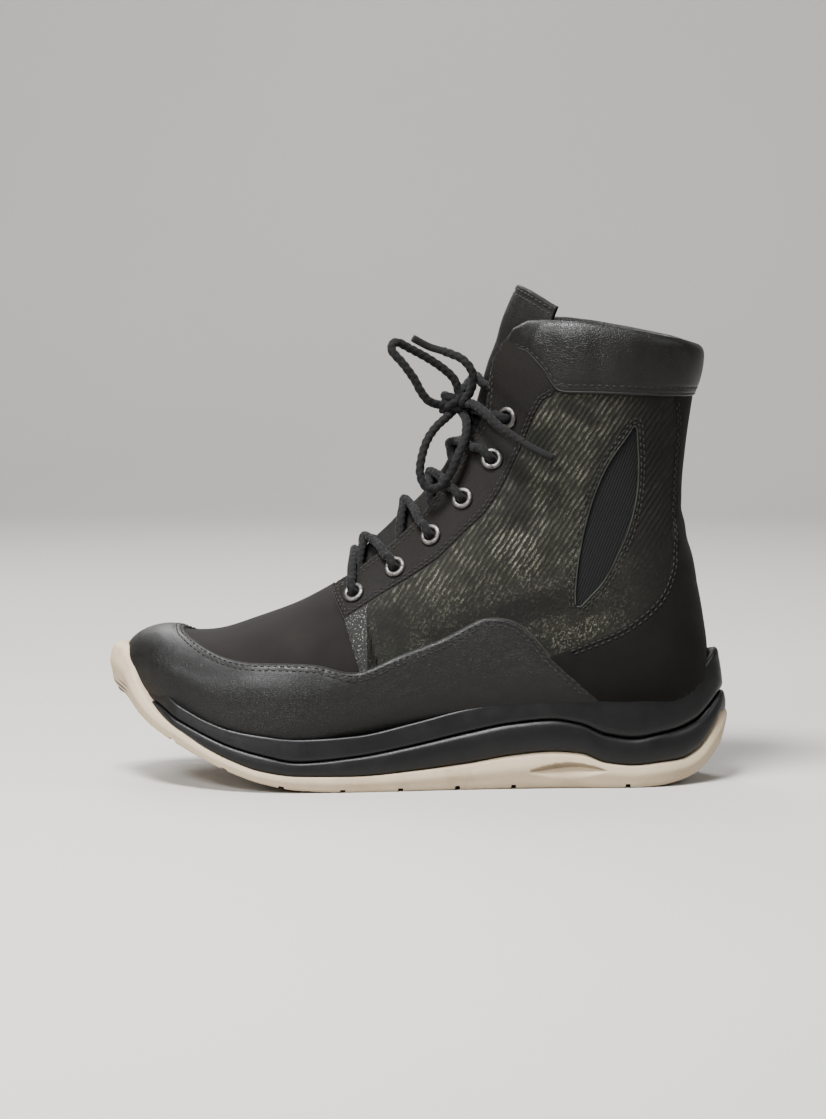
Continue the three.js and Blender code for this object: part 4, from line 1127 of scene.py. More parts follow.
RAND_LEATHER = GrainLeather(
    "rand_leather", shade(0.0022, 0.0021, 0.002), shade(0.005, 0.0047, 0.0043), gloss=0.33, grain=1400.0,
    depth=0.00009, shine=0.27, wrinkle=1.0)
CUFF_LEATHER = GrainLeather(
    "cuff_leather", shade(0.0024, 0.0023, 0.0021), shade(0.0055, 0.0052, 0.0047), gloss=0.34, grain=1000.0,
    depth=0.0001, shine=0.24)
FACING_LEATHER = GrainLeather(
    "facing_leather", shade(0.0042, 0.0037, 0.0032), shade(0.0098, 0.0086, 0.0074), gloss=0.6, grain=1050.0,
    depth=0.0001, shine=0.1)
TONGUE_LEATHER = GrainLeather(
    "tongue_leather", shade(0.0034, 0.0031, 0.0028), shade(0.008, 0.0073, 0.0066), gloss=0.5, grain=800.0,
    depth=0.00013, shine=0.12)
VAMP_NUBUCK = Nubuck(
    "vamp_nubuck", shade(0.0058, 0.005, 0.0046), shade(0.0105, 0.0091, 0.0083), sheen=0.025, rough=0.88)
COUNTER_NUBUCK = Nubuck("counter_nubuck", shade(0.0026, 0.0024, 0.0021), shade(0.0058, 0.0052, 0.0045), 0.03)
LINING_CLOTH = Nubuck(
    "lining_cloth", shade(0.010, 0.0095, 0.009), shade(0.02, 0.019, 0.0175), sheen=0.15, rough=0.92,
    weave=0.5)
CUT_EDGE = Nubuck("cut_edge", shade(0.013, 0.0125, 0.0118), shade(0.03, 0.029, 0.027), 0.02, 0.6)
LEAF_RIM = Nubuck("leaf_rim", shade(0.012, 0.0132, 0.0108), shade(0.032, 0.035, 0.028), 0.02, 0.6)
GLINTS = (Patch(0.072, 0.071, 0.019, 0.0065, -29.0), Patch(0.100, 0.109, 0.017, 0.011, 50.0))
DULLED = (Patch(0.094, 0.083, 0.024, 0.0095, -12.0), Patch(0.071, 0.172, 0.014, 0.005, 30.0))
SIDE_SUEDE = PrintedSuede(
    "side_suede", ground=shade(0.0048, 0.0049, 0.0036), print_dark=shade(0.042, 0.043, 0.03),
    print_light=shade(0.17, 0.165, 0.125), bare=shade(0.0042, 0.0036, 0.0028), glints=GLINTS, dulled=DULLED)
TAB_SUEDE = GlitterSuede("tab_suede", shade(0.008, 0.0083, 0.0072), shade(0.15, 0.152, 0.13))
GORE_ELASTIC = Elastic("gore_elastic", shade(0.0042, 0.0042, 0.0045))
MIDSOLE_FOAM = MouldedRubber(
    "midsole_foam", shade(0.0036, 0.0037, 0.004), dirt=shade(0.011, 0.011, 0.0107), rough=0.38)
# the outsole's rib pitch also paints shade into the slots between the bumper's ribs
OUTSOLE_RUBBER = MouldedRubber(
    "outsole_rubber", shade(0.43, 0.345, 0.24), dirt=shade(0.22, 0.165, 0.10), rough=0.72, low_dirt=0.5,
    ribs=0.0022)
NICKEL = AgedNickel("aged_nickel", shade(0.125, 0.119, 0.113), shade(0.035, 0.033, 0.031))
LACE_YARN = Yarn("lace_yarn", shade(0.0022, 0.0022, 0.0024), shade(0.0072, 0.007, 0.0072))
SEAM_THREAD = Yarn("seam_thread", shade(0.007, 0.0066, 0.006), shade(0.022, 0.0208, 0.019), 7000.0, 0.5)
FLOOR = PaleFloor()


@dataclass
class Part:
    """Points and faces of a piece while it is made, in millimetres."""

    points: np.ndarray
    faces: list[tuple[int, ...]] | np.ndarray

    def piece(self, name: str, finish: Finish, slot: str, nodes: Iterable[str] = ()) -> bpy.types.Object:
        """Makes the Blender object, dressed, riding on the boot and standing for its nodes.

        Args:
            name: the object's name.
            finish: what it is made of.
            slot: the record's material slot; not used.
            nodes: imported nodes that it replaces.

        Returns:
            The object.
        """
        mesh = bpy.data.meshes.new(name)
        faces = self.faces.tolist() if isinstance(self.faces, np.ndarray) else self.faces
        mesh.from_pydata((self.points * MM).tolist(), [], faces)
        mesh.validate()
        mesh.shade_smooth()
        made = bpy.data.objects.new(name, mesh)
        bpy.context.scene.collection.objects.link(made)
        mesh.materials.append(finish.material())
        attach(made, "root")
        if nodes:
            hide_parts(*nodes)
        LOG.info("%s: %d faces", name, len(mesh.polygons))
        return made


def joined(parts: Sequence[Part]) -> Part:
    """Returns several parts as one.

    Args:
        parts: the parts.

    Returns:
        The one part.
    """
    starts = np.cumsum([0] + [len(p.points) for p in parts])
    faces = [tuple(int(v) + int(start) for v in face) for start, p in zip(starts, parts) for face in p.faces]
    return Part(np.vstack([p.points for p in parts]), faces)


def closed(sheet: Sheet, out: np.ndarray, under: np.ndarray | float) -> Part:
    """Gives a sheet its top, its underside and the rim between them.

    Args:
        sheet: the sheet.
        out: how far its top stands out from the last at each corner.
        under: the same for its underside.

    Returns:
        The closed piece of leather.
    """
    count = len(sheet.base)
    under = np.broadcast_to(np.asarray(under, float), (count,))
    top = sheet.base + sheet.normal * out[:, None]
    bottom = sheet.base + sheet.normal * np.minimum(under, out - 0.02)[:, None]
    edges = np.concatenate([sheet.faces[:, [k, (k + 1) % 3]] for k in range(3)])
    keys = edges[:, 0].astype(np.int64) * count + edges[:, 1]
    back = edges[:, 1].astype(np.int64) * count + edges[:, 0]
    rim = edges[~np.isin(keys, back)]
    walls = np.concatenate([
        np.stack([rim[:, 1], rim[:, 0], rim[:, 0] + count], 1),
        np.stack([rim[:, 1], rim[:, 0] + count, rim[:, 1] + count], 1),
    ])
    faces = np.concatenate([sheet.faces, sheet.faces[:, ::-1] + count, walls])
    return Part(np.vstack([top, bottom]), faces)


Radius = Callable[[np.ndarray, np.ndarray], np.ndarray]


def even(size: float) -> Radius:
    """Returns the radius of a tube that is the same all along."""
    return lambda at, turn: size + 0 * at + 0 * turn


def tube(points: np.ndarray, radius: Radius, step: float, sides: int) -> Part:
    """Runs a round section along a smooth path.

    Args:
        points: the path's points.
        radius: the section's radius, from the distance along the path and the turn around it.
        step: the distance between rings.
        sides: how many sides the section has.

    Returns:
        The closed tube.
    """
    path = rounded_path(np.asarray(points, float), 24)
    run = travel(path)
    at = np.linspace(0, run[-1], max(int(run[-1] / step), 4) + 1)
    path = placed(path, run, at)
    ahead = np.gradient(path, axis=0)
    ahead /= np.linalg.norm(ahead, axis=1, keepdims=True)
    side = np.cross(ahead[0], [0.3, 0.2, 1.0])
    sides_at = []
    for direction in ahead:
        side = side - direction * (side @ direction)
        side = side / np.linalg.norm(side)
        sides_at.append(side)
    side = np.array(sides_at)
    other = np.cross(ahead, side)
    turn = np.arange(sides) / sides * 2 * math.pi
    size = radius(at[:, None], turn[None])
    rings = path[:, None] + size[..., None] * (
        np.cos(turn)[None, :, None] * side[:, None] + np.sin(turn)[None, :, None] * other[:, None])
    return swept(rings)


def swept(rings: np.ndarray, closed_ends: bool = True, around: bool = True) -> Part:
    """Joins rings of points into one surface.

    Args:
        rings: the rings, one a row, each point with its three numbers.
        closed_ends: fill the first and the last ring.
        around: join each ring's last point to its first.

    Returns:
        The surface.
    """
    count, sides = rings.shape[:2]
    i, j = np.meshgrid(np.arange(count - 1), np.arange(sides if around else sides - 1), indexing="ij")
    a, b = i * sides + j, i * sides + (j + 1) % sides
    quads = np.stack([a, b, b + sides, a + sides], -1).reshape(-1, 4)
    faces: list[tuple[int, ...]] = [tuple(q) for q in quads.tolist()]
    if closed_ends:
        faces.append(tuple(range(sides))[::-1])
        faces.append(tuple((count - 1) * sides + k for k in range(sides)))
    return Part(rings.reshape(-1, 3), faces)


def turned_profile(profile: Sequence[tuple[float, float]], centre: np.ndarray, axis: np.ndarray,
                   sides: int) -> Part:
    """Turns a closed profile of radii and heights about an axis.

    Args:
        profile: radii and heights, in order.
        centre: where the axis starts.
        axis: its direction.
        sides: how many sides a ring has.

    Returns:
        The turned part.
    """
    axis = axis / np.linalg.norm(axis)
    side = np.cross(axis, [0.0, 1.0, 0.1])
    side /= np.linalg.norm(side)
    other = np.cross(axis, side)
    turn = np.arange(sides) / sides * 2 * math.pi
    around = np.cos(turn)[:, None] * side + np.sin(turn)[:, None] * other
    rings = np.stack([centre + r * around + h * axis for r, h in profile])
    rings = np.concatenate([rings, rings[:1]])
    count = len(profile)
    part = swept(rings, closed_ends=False)
    faces = [tuple(v % (count * sides) for v in face) for face in part.faces]
    return Part(part.points[:count * sides], faces)


@dataclass
class Sewing:
    """Gathers the stitches of every seam and makes them one piece of thread."""

    thread: float = 0.32
    sides: int = 5
    stitch_share: float = 0.72
    sample: float = 0.8
    lift: tuple[float, ...] = (-0.35, 0.12, 0.2, 0.12, -0.35)
    ease: tuple[float, ...] = (1 / 9, 2 / 9, 3 / 9, 2 / 9, 1 / 9)
    parts: list[Part] = field(default_factory=list)

    def row(self, points: np.ndarray, normals: np.ndarray, pitch: float) -> None:
        """Sews a row along points that lie on a leather's face.

        Args:
            points: the line, in millimetres.
            normals: the leather's outward directions there.
            pitch: from stitch to stitch.
        """
        run = travel(points)
        if run[-1] < 2 * pitch:
            return
        smooth = np.linspace(0, run[-1], max(int(run[-1] / self.sample), 4))
        points, normals = placed(points, run, smooth), placed(normals, run, smooth)
        for k in range(3):
            points[2:-2, k] = np.convolve(points[:, k], self.ease, "valid")
        turn = np.arange(self.sides) / self.sides * 2 * math.pi
        share = np.linspace(0, 1, len(self.lift))
        for start in np.arange(pitch / 2, smooth[-1] - pitch, pitch):
            spots = start + share * pitch * self.stitch_share
            out = placed(normals, smooth, spots)
            out /= np.linalg.norm(out, axis=1, keepdims=True)
            path = placed(points, smooth, spots) + out * np.array(self.lift)[:, None]
            side = np.cross(np.gradient(path, axis=0), out)
            side /= np.linalg.norm(side, axis=1, keepdims=True)
            ring = np.cos(turn)[None, :, None] * side[:, None] + np.sin(turn)[None, :, None] * out[:, None]
            self.parts.append(swept(path[:, None] + self.thread * ring))

    def piece(self) -> bpy.types.Object:
        """Returns the thread of every seam."""
        return joined(self.parts).piece("stitching", SEAM_THREAD, "smooth_leather")


def shaped(inside: np.ndarray, thick: float, low: float, round_by: float) -> np.ndarray:
    """Returns how far a leather's top stands out, rolled over at its edge.

    Args:
        inside: distance from the leather's edge.
        thick: its full thickness.
        low: where its rolled edge ends.
        round_by: how wide the rolled edge is.

    Returns:
        The top's distance from the last.
    """
    share = np.clip(inside / round_by, 0, 1)
    return low + (thick - low) * np.sqrt(np.clip(1 - (1 - share) ** 2, 0, 1))


def groove(distance: np.ndarray, at: float, width: float, depth: float) -> np.ndarray:
    """Returns a shallow groove along a line at a distance from an edge."""
    return -depth * np.exp(-(((distance - at) / width) ** 2))


@dataclass(frozen=True)
class Rim:
    """A leather's cut or folded edge: how far in it runs, its radius and what it is made of."""

    inside: float
    radius: float
    finish: Finish

    def part(self, points: np.ndarray) -> Part:
        """Returns the rim along some points of the edge."""
        return tube(points[::4], even(self.radius), 0.9, 8)


@dataclass(frozen=True)
class Leather:
    """One sewn leather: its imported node, thickness, rolled edge, creases, stitches, rim and finish.

    thick and low are its top and the foot of its rolled edge above the last. rows are the distances of its
    stitches from the edge.
    """

    name: str
    thick: float
    low: float
    creases: tuple[Crease, ...]
    rows: tuple[float, ...]
    pitch: float
    finish: Finish
    slot: str
    rim: Rim | None = None


@dataclass
class Outlines:
    """The edges of every leather, in the side view."""

    stay_tip_back: float = 0.2737
    counter_end: float = 0.18
    below_lip: float = 4.0

    def __post_init__(self) -> None:
        """Rounds the seams off."""
        self.rand_edge = rounded_path(side_points(RAND_EDGE), 6)
        self.counter_seam = rounded_path(side_points(COUNTER_SEAM), 6)
        self.leaf = rounded_path(side_points(LEAF), 3)
        self.cuff_top = side_points(CUFF_TOP)
        self.cuff_seam = side_points(CUFF_SEAM)

    def height(self, line: np.ndarray, x: np.ndarray) -> np.ndarray:
        """Returns a line's height over each x."""
        order = np.argsort(line[:, 0])
        return np.interp(x, line[order, 0], line[order, 1])

    def stay(self) -> np.ndarray:
        """Returns the lacing facing's outline."""
        edge = np.vstack([side_points(STAY_EDGE), side_points(STAY_TIP)[1:]])
        far = np.array([[along_x(0.8), level_z(1.107)], [along_x(0.8), level_z(2.2)],
                        [along_x(self.stay_tip_back), level_z(2.2)]])
        return np.vstack([edge, far])

    def rand(self) -> np.ndarray:
        """Returns the rand's outline."""
        far = LENGTH * 0.6
        edge = self.rand_edge
        return np.vstack([[[far, 0.0], [far, edge[0, 1]]], edge, [[edge[-1, 0], 0.0]]])

    def counter(self) -> np.ndarray:
        """Returns the heel counter's outline."""
        seam, edge = self.counter_seam, self.rand_edge
        ahead = np.array([[along_x(self.counter_end), 0.0], [along_x(-0.1), 0.0]])
        return np.vstack([[[along_x(-0.1), seam[0, 1]]], seam, edge[-2:], ahead])

    def tab(self) -> np.ndarray:
        """Returns the outline of the patch before the facing."""
        return side_points(TAB)

    def quarter(self) -> np.ndarray:
        """Returns an outline well round the printed quarter, whose edges the other leathers cut."""
        corners = ((0.08, 0.3), (0.58, 0.3), (0.58, 1.2), (0.3, 1.9), (0.08, 1.9))
        return np.array([[along_x(at), level_z(level)] for at, level in corners])


VAMP_CREASES = (
    Crease(((180, 66), (188, 58), (194, 49)), 5.0, 0.16),
    Crease(((200, 70), (208, 61), (213, 50)), 5.5, 0.14),
    Crease(((226, 64), (232, 58), (236, 52)), 5.0, 0.1),
)
FACING_CREASES = (
    Crease(((118, 112), (130, 100), (146, 96)), 3.0, 0.35),
    Crease(((136, 86), (150, 80), (168, 80)), 2.6, 0.3),
)
QUARTER_CREASES = (
    Crease(((72, 112), (86, 100), (104, 94)), 4.5, 0.5, Reach.BOTH),
    Crease(((86, 128), (98, 118), (112, 116)), 4.0, 0.4, Reach.BOTH),
    Crease(((112, 74), (128, 68), (146, 70)), 4.0, 0.35, Reach.BOTH),
)
COUNTER_CREASES = (
    Crease(((20, 128), (34, 121), (46, 123)), 3.4, 0.6),
    Crease(((20, 112), (36, 106), (50, 109)), 3.6, 0.5),
)


@dataclass
class Leathers:
    """Every leather that lies on the last, cut from one fine net."""

    last: Last
    sewing: Sewing
    step: float = 1.8
    roll: float = 1.25
    lap: float = 2.0
    vamp_lap: float = 3.0
    rand_lap: float = 1.5
    cuff_lap: float = 3.0
    leaf_lap: float = 2.5
    lining_inset: float = 5.0
    elsewhere: float = 30.0
    stitch_groove: float = 0.16

    def __post_init__(self) -> None:
        """Measures the net against each outline once."""
        self.skin, self.outlines = Skin(self.last, self.step), Outlines()
        skin, lines = self.skin, self.outlines
        true = skin.true_distance
        self.x, self.y, self.z = np.moveaxis(skin.base, -1, 0)
        self.throat = np.where(skin.place > FIRST_THROAT_ROW - 0.35, self.throat_field(), self.elsewhere)
        self.sole = true(self.z - self.lip_height() + lines.below_lip)
        self.collar = true(lines.height(lines.cuff_top, self.x) - self.z)
        self.seam = true(lines.height(lines.cuff_seam, self.x) - self.z)
        self.rand = true(skin.side_field(lines.rand()))
        self.counter = true(skin.side_field(lines.counter()))
        self.stay = true(skin.side_field(lines.stay()))
        self.tab = true(skin.side_field(lines.tab()))
        self.leaf = true(skin.side_field(lines.leaf))
        self.quarter = skin.side_field(lines.quarter())

    def lip_height(self) -> np.ndarray:
        """Returns the height of the sole's lip beside each point."""
        share = np.clip(self.x / LENGTH + 0.5, 0, 1)
        return read(SIDE, "lip", share) * HEEL_HEIGHT

    def throat_field(self) -> np.ndarray:
        """Returns the distance from the throat's edge, which closes in towards its foot.

        Returns:
            A value for each point of the net, negative in the throat.
        """
        half = THROAT_HALF * np.clip(0.55 + 0.45 * (self.skin.place - FIRST_THROAT_ROW) / 0.75, 0.35, 1)
        closing = (FIRST_THROAT_ROW + 0.26 - self.skin.place) * 20.0
        front = self.skin.normal[..., 0] > -0.35
        off = np.abs(self.y) - half
        return np.where(front, np.maximum(off, closing), self.elsewhere)

    def lay(self, keep: np.ndarray, top: float, under: float, creases: Sequence[Crease] = ()) -> Part:
        """Cuts one layer whose edges are all hidden and lays its creases.

        Args:
            keep: above nought where the layer is.
            top: its top above the last.
            under: its underside above the last.
            creases: creases laid over it.

        Returns:
            The closed layer.
        """
        sheet = self.skin.sheet(keep)
        out = np.full(len(sheet.base), top)
        for crease in creases:
            out = out + crease.height(sheet.base)
        return closed(sheet, out, under)

    def sewn(self, leather: Leather, keep: np.ndarray, edge: np.ndarray,
             clear: np.ndarray | None = None) -> None:
        """Makes one leather with its rolled edge, its rows of stitches and its rim.

        Args:
            leather: the leather.
            keep: above nought where it is.
            edge: distance from its seen edges.
            clear: above nought where there may be stitches.
        """
        shown = np.minimum(self.sole - self.outlines.below_lip, self.seam)
        if clear is not None:
            shown = np.minimum(shown, clear)
        rim, round_by = leather.rim, self.roll * (leather.thick - leather.low)
        sheet = self.skin.sheet(keep, edge=edge, shown=shown)
        edges = sheet.line("edge", rim.inside) if rim else []
        chains = [chain for row in leather.rows for chain in sheet.line("edge", row)]
        for share in (0.06, 0.25, 0.6, 1.0):
            sheet.split("edge", share * round_by)
        distance = sheet.values["edge"]
        out = shaped(distance, leather.thick, leather.low, round_by)
        for row in leather.rows:
            out = out + groove(distance, row, 0.7, self.stitch_groove)
        for crease in leather.creases:
            out = out + crease.height(sheet.base)
        closed(sheet, out, 0.0).piece(leather.name + "_fine", leather.finish, leather.slot, (leather.name,))
        top = sheet.base + sheet.normal * out[:, None]
        for run in self.seen(sheet, chains, 1.0):
            self.sewing.row(top[run], sheet.normal[run], leather.pitch)
        rims = [rim.part(top[run]) for run in self.seen(sheet, edges, 0.2) if len(run) > 16]
        if rims:
            joined(rims).piece(leather.name + "_rim", rim.finish, leather.slot)

    def seen(self, sheet: Sheet, chains: Sequence[np.ndarray], above: float) -> list[np.ndarray]:
        """Returns the lengths of some lines of a sheet that can be seen.

        Args:
            sheet: the sheet, with how far inside the seen part each corner is.
            chains: the lines, as corners of the sheet.
            above: how far inside the seen part they must be.

        Returns:
            The corners of each length.
        """
        found = []
        for chain in chains:
            shown = sheet.values["shown"][chain] > above
            runs = np.split(chain, np.flatnonzero(np.diff(shown.astype(int))) + 1)
            found += [run for run in runs if len(run) > 6 and sheet.values["shown"][run[0]] > above]
        return found

    def build(self) -> None:
        """Builds the vamp, both sides, the heel counter and the rand."""
        under_cuff = self.seam + self.cuff_lap
        vamp = np.minimum.reduce([under_cuff, self.throat, self.sole, self.vamp_lap - self.rand,
                                  self.vamp_lap - self.counter])
        self.lay(vamp, 0.0, -0.4, VAMP_CREASES).piece("vamp", VAMP_NUBUCK, "vamp_nubuck", ("upper",))
        for reach in (Reach.LATERAL, Reach.MEDIAL):
            self.side(SIDE_NAMES[reach.value], np.minimum(reach.value * self.y + 0.2, self.elsewhere))
        counter = Leather("heel_counter", 1.6, 0.1, COUNTER_CREASES, (1.6, 3.4), 3.2, COUNTER_NUBUCK,
                          "counter_leather")
        keep = np.minimum.reduce([self.counter, self.rand_lap - self.rand, under_cuff, self.sole])
        self.sewn(counter, keep, self.counter, -self.rand - 5.0)
        rand = Leather("rand", 2.0, 0.0, (), (1.7, 3.6), 3.1, RAND_LEATHER, "smooth_leather",
                       Rim(0.35, 0.33, CUT_EDGE))
        self.sewn(rand, np.minimum(self.rand, self.sole), self.rand)

    def line(self) -> None:
        """Builds the lining, which needs a coarser net than the leathers."""
        inner = np.minimum.reduce([self.collar - self.lining_inset, self.throat - 0.3, self.sole + 8.0])
        self.lay(inner, -0.4, -2.0).piece("lining", LINING_CLOTH, "lining")

    def side(self, side: str, half: np.ndarray) -> None:
        """Builds one side's elastic, quarter, lacing facing and the patch before it.

        Args:
            side: the side's name.
            half: above nought on that side of the boot.
        """
        under_cuff, lap = self.seam + self.cuff_lap, self.lap
        gore = np.minimum(self.leaf + self.leaf_lap, half)
        self.lay(gore, 0.35, 0.0).piece(f"gore_{side}", GORE_ELASTIC, "smooth_leather")
        quarter = Leather(f"quarter_{side}", 1.2, 0.3, QUARTER_CREASES, (1.6, 3.1), 3.0, SIDE_SUEDE,
                          "printed_suede", Rim(0.4, 0.36, LEAF_RIM))
        keep = np.minimum.reduce([self.quarter, -self.leaf, under_cuff, self.sole, lap - self.rand,
                                  lap - self.counter, lap - self.stay, half])
        self.sewn(quarter, keep, -self.leaf)
        facing = Leather(f"eyestay_{side}", 2.0, 0.1, FACING_CREASES, (1.5, 3.1), 3.0, FACING_LEATHER,
                         "facing_leather", Rim(0.35, 0.27, CUT_EDGE))
        keep = np.minimum.reduce([self.stay, self.throat, under_cuff, self.sole, half])
        self.sewn(facing, keep, np.minimum(self.stay, self.throat))
        tab = Leather(f"vamp_tab_{side}", 1.2, 0.1, (), (1.3,), 2.8, TAB_SUEDE, "glitter_leather")
        keep = np.minimum.reduce([self.tab, lap - self.stay, lap - self.rand, self.sole, half])
        self.sewn(tab, keep, self.tab)


def smooth_step(value: np.ndarray, low: float, high: float) -> np.ndarray:
    """Returns how far a value is from low to high, as a smooth step from 0 to 1."""
    share = np.clip((value - low) / (high - low), 0, 1)
    return share * share * (3 - 2 * share)


OUTSOLE_EDGE = (
    (0, 0.2), (0.06, 0.12), (0.15, 0.08), (0.3, 0.05), (0.6, 0.0), (0.85, 0.065), (0.95, 0.12), (1, 0.2),
)
LOWER_BAND_EDGE = (
    (0, 0.16), (0.05, 0.07), (0.2, 0.0), (0.5, 0.0), (0.8, 0.05), (0.92, 0.1), (0.985, 0.18), (1, 0.3),
)
UPPER_BAND_EDGE = (
    (0, 0.14), (0.04, 0.05), (0.15, 0.0), (0.45, 0.03), (0.75, 0.08), (0.9, 0.105), (0.965, 0.135),
    (1, 0.19), (0.99, 0.27),
)


@dataclass
class Sole:
    """The outsole with its lugs, hollow and bumper, and the two black bands above it."""

    last: Last
    stations: int = 150
    lower_inset: float = 0.8
    upper_inset: float = 2.3
    lug_width: float = 2.4
    lug_depth: float = 2.0
    bumper_lap: float = 3.0
    hollow_at: float = 0.262
    hollow_up: float = 8.1
    hollow_half: float = 18.0
    hollow_tall: float = 3.7
    hollow_depth: float = 3.6
    rib_pitch: float = 1.7
    rib_depth: float = 0.28

    def __post_init__(self) -> None:
        """Lays the stations along the sole and its outline through them, inside it the upper's wall."""
        net = Skin(self.last, 4.0)
        self.wall = BVHTree.FromPolygons(net.base.reshape(-1, 3).tolist(), net.faces.tolist())
        share = (1 - np.cos(np.linspace(0, math.pi, self.stations + 1))) / 2
        half = self.lug_width / 2 / LENGTH
        slots = np.array(LUG_STATIONS)[:, None] + np.array([-1.25, -1.0, -0.8, 0.8, 1.0, 1.25]) * half
        share = np.unique(np.concatenate([share, slots.ravel(), np.linspace(0.19, 0.334, 60)]))
        self.share = share[np.concatenate([[True], np.diff(share) > 2e-4])]
        self.share[-1] = 1.0
        lateral = read(PLAN, "lateral", self.share, True) * BALL_WIDTH
        medial = read(PLAN, "medial", self.share, True) * BALL_WIDTH
        self.ring_share = np.concatenate([self.share, self.share[-2:0:-1]])
        y = np.concatenate([medial, lateral[-2:0:-1]])
        self.ring = np.stack([along_x(self.ring_share), y], 1)
        ahead = np.roll(self.ring, -1, 0) - np.roll(self.ring, 1, 0)
        inward = np.stack([-ahead[:, 1], ahead[:, 0]], 1)
        self.inward = inward / np.linalg.norm(inward, axis=1, keepdims=True)
        self.count = len(self.ring)

    def height(self, line: str) -> np.ndarray:
        """Returns a line of the side at every point of the outline."""
        return read(SIDE, line, self.ring_share) * HEEL_HEIGHT

    def at(self, inset: np.ndarray, z: np.ndarray) -> np.ndarray:
        """Returns a ring moved in from the outline, at some heights."""
        spot = self.ring + self.inward * np.broadcast_to(inset, (self.count,))[:, None]
        return np.column_stack([spot, np.broadcast_to(z, (self.count,))])

    def to_wall(self, ring: np.ndarray, drop: float) -> np.ndarray:
        """Moves a ring in until it is hidden in the upper's wall, or well in where nothing is met.

        Args:
            ring: the ring.
            drop: how far it is lowered.

        Returns:
            The moved ring.
        """
        moved = ring.copy()
        for k, spot in enumerate(ring):
            inward = Vector((*self.inward[k], 0.0))
            hit = self.wall.ray_cast(Vector(spot), inward, 26.0)
            far = (hit[3] + 1.0) if hit[0] is not None else 9.0
            moved[k] = spot + np.array(inward) * far
            moved[k, 2] -= drop
        return moved

    def layer(self, edge: Sequence[tuple[float, float]], bottom: str, top: str, step_in: float, lap: float,
              carve: Radius | None = None, fine: int = 5) -> list[np.ndarray]:
        """Returns one layer's rings, from its lower edge up to its upper edge.

        Args:
            edge: shares of the height with insets as shares of the height.
            bottom: line of the side at its foot.
            top: line of the side at its head.
            step_in: how far it stands in from the outline.
            lap: how far it steps in behind the bumper.
            carve: more inset, from the distance along and the height.
            fine: rings for each row of the edge.

        Returns:
            The rings.
        """
        low = self.height(bottom) + (0 if bottom == "tread" else 0.3)
        high = self.height(top)
        behind = lap * smooth_step(self.ring_share, BUMPER_START, BUMPER_FULL)
        rings = []
        for up, inset in rounded_path(np.array(edge, float), fine):
            z = low + (high - low) * up
            far = step_in + behind + inset * (high - low)
            if carve is not None:
                far = far + carve(self.ring[:, 0], z)
            rings.append(self.at(far, z))
        return rings

    def hollow(self, x: np.ndarray, z: np.ndarray) -> np.ndarray:
        """Returns the depth of the eye in the heel's side and of the bumper's ribs.

        Args:
            x: the points' x.
            z: their heights.

        Returns:
            The depths.
        """
        u = (x - along_x(self.hollow_at)) / self.hollow_half
        lid = np.clip(1 - u * u, 0, 1)
        v = (z - self.hollow_up) / (self.hollow_tall * np.maximum(lid, 1e-3))
        floor = smooth_step(v, -1.0, 0.75)
        depth = self.hollow_depth * floor * lid ** 0.5 * (1 - smooth_step(v, 0.93, 1.03)) * (lid > 0)
        front = smooth_step(x, along_x(0.955), along_x(0.975))
        band = smooth_step(z, 46.0, 47.5) * (1 - smooth_step(z, 56.5, 58.0))
        ribs = self.rib_depth * (0.5 - 0.5 * np.cos(z * 2 * math.pi / self.rib_pitch)) * front * band
        return depth + ribs

    def outsole(self) -> Part:
        """Returns the pale outsole with slots across its tread.

        Returns:
            The outsole, closed behind its edge.
        """
        rings = self.layer(OUTSOLE_EDGE, "tread", "pale", 0.0, 0.0, self.hollow, 8)
        rings.append(self.to_wall(rings[-1], 0.6))
        rings.append(self.to_wall(rings[-2], 6.0))
        slot = np.zeros(self.count)
        for station in LUG_STATIONS:
            off = np.abs(self.ring_share - station) * LENGTH
            slot = np.maximum(slot, 1 - smooth_step(off, self.lug_width * 0.42, self.lug_width * 0.56))
        floor = self.height("tread")
        for ring in rings[:18]:
            lift = floor + self.lug_depth * slot - ring[:, 2]
            ring[:, 2] += np.clip(lift, 0, None) * slot
        part = swept(np.stack(rings), closed_ends=False)
        return joined([part, self.tread(rings[0])])

    def tread(self, ring: np.ndarray, across: int = 12) -> Part:
        """Returns the tread between the two sides of the lowest ring.

        Args:
            ring: the lowest ring.
            across: points from side to side.

        Returns:
            The tread.
        """
        last = len(self.share) - 1
        rows = []
        for k in range(1, last):
            medial, lateral = ring[k], ring[self.count - k]
            share = np.linspace(0, 1, across)[:, None]
            rows.append(medial * (1 - share) + lateral * share)
        grid = np.stack(rows)
        body = swept(grid, closed_ends=False, around=False)
        count = len(grid)
        points = np.vstack([body.points, ring[:1], ring[last:last + 1]])
        faces = [face[::-1] for face in body.faces]
        heel, toe = len(points) - 2, len(points) - 1
        faces += [(heel, j, j + 1) for j in range(across - 1)]
        faces += [(toe, (count - 1) * across + j + 1, (count - 1) * across + j) for j in range(across - 1)]
        return Part(points, faces)

    def band(self, edge: Sequence[tuple[float, float]], bottom: str, top: str, step_in: float) -> Part:
        """Returns one black band, closed behind against the upper.

        Args:
            edge: its outline, as for a layer.
            bottom: line of the side at its foot.
            top: line of the side at its head.
            step_in: how far it stands in from the outline.

        Returns:
            The band.
        """
        rings = self.layer(edge, bottom, top, step_in, self.bumper_lap)
        low = [self.to_wall(rings[0], 0.0)]
        high = [self.to_wall(rings[-1], 0.5), self.to_wall(rings[-1], 5.0)]
        rings = low + rings + high + low
        part = swept(np.stack(rings), closed_ends=False)
        count = (len(rings) - 1) * self.count
        faces = [tuple(v % count for v in face) for face in part.faces]
        return Part(part.points[:count], faces)

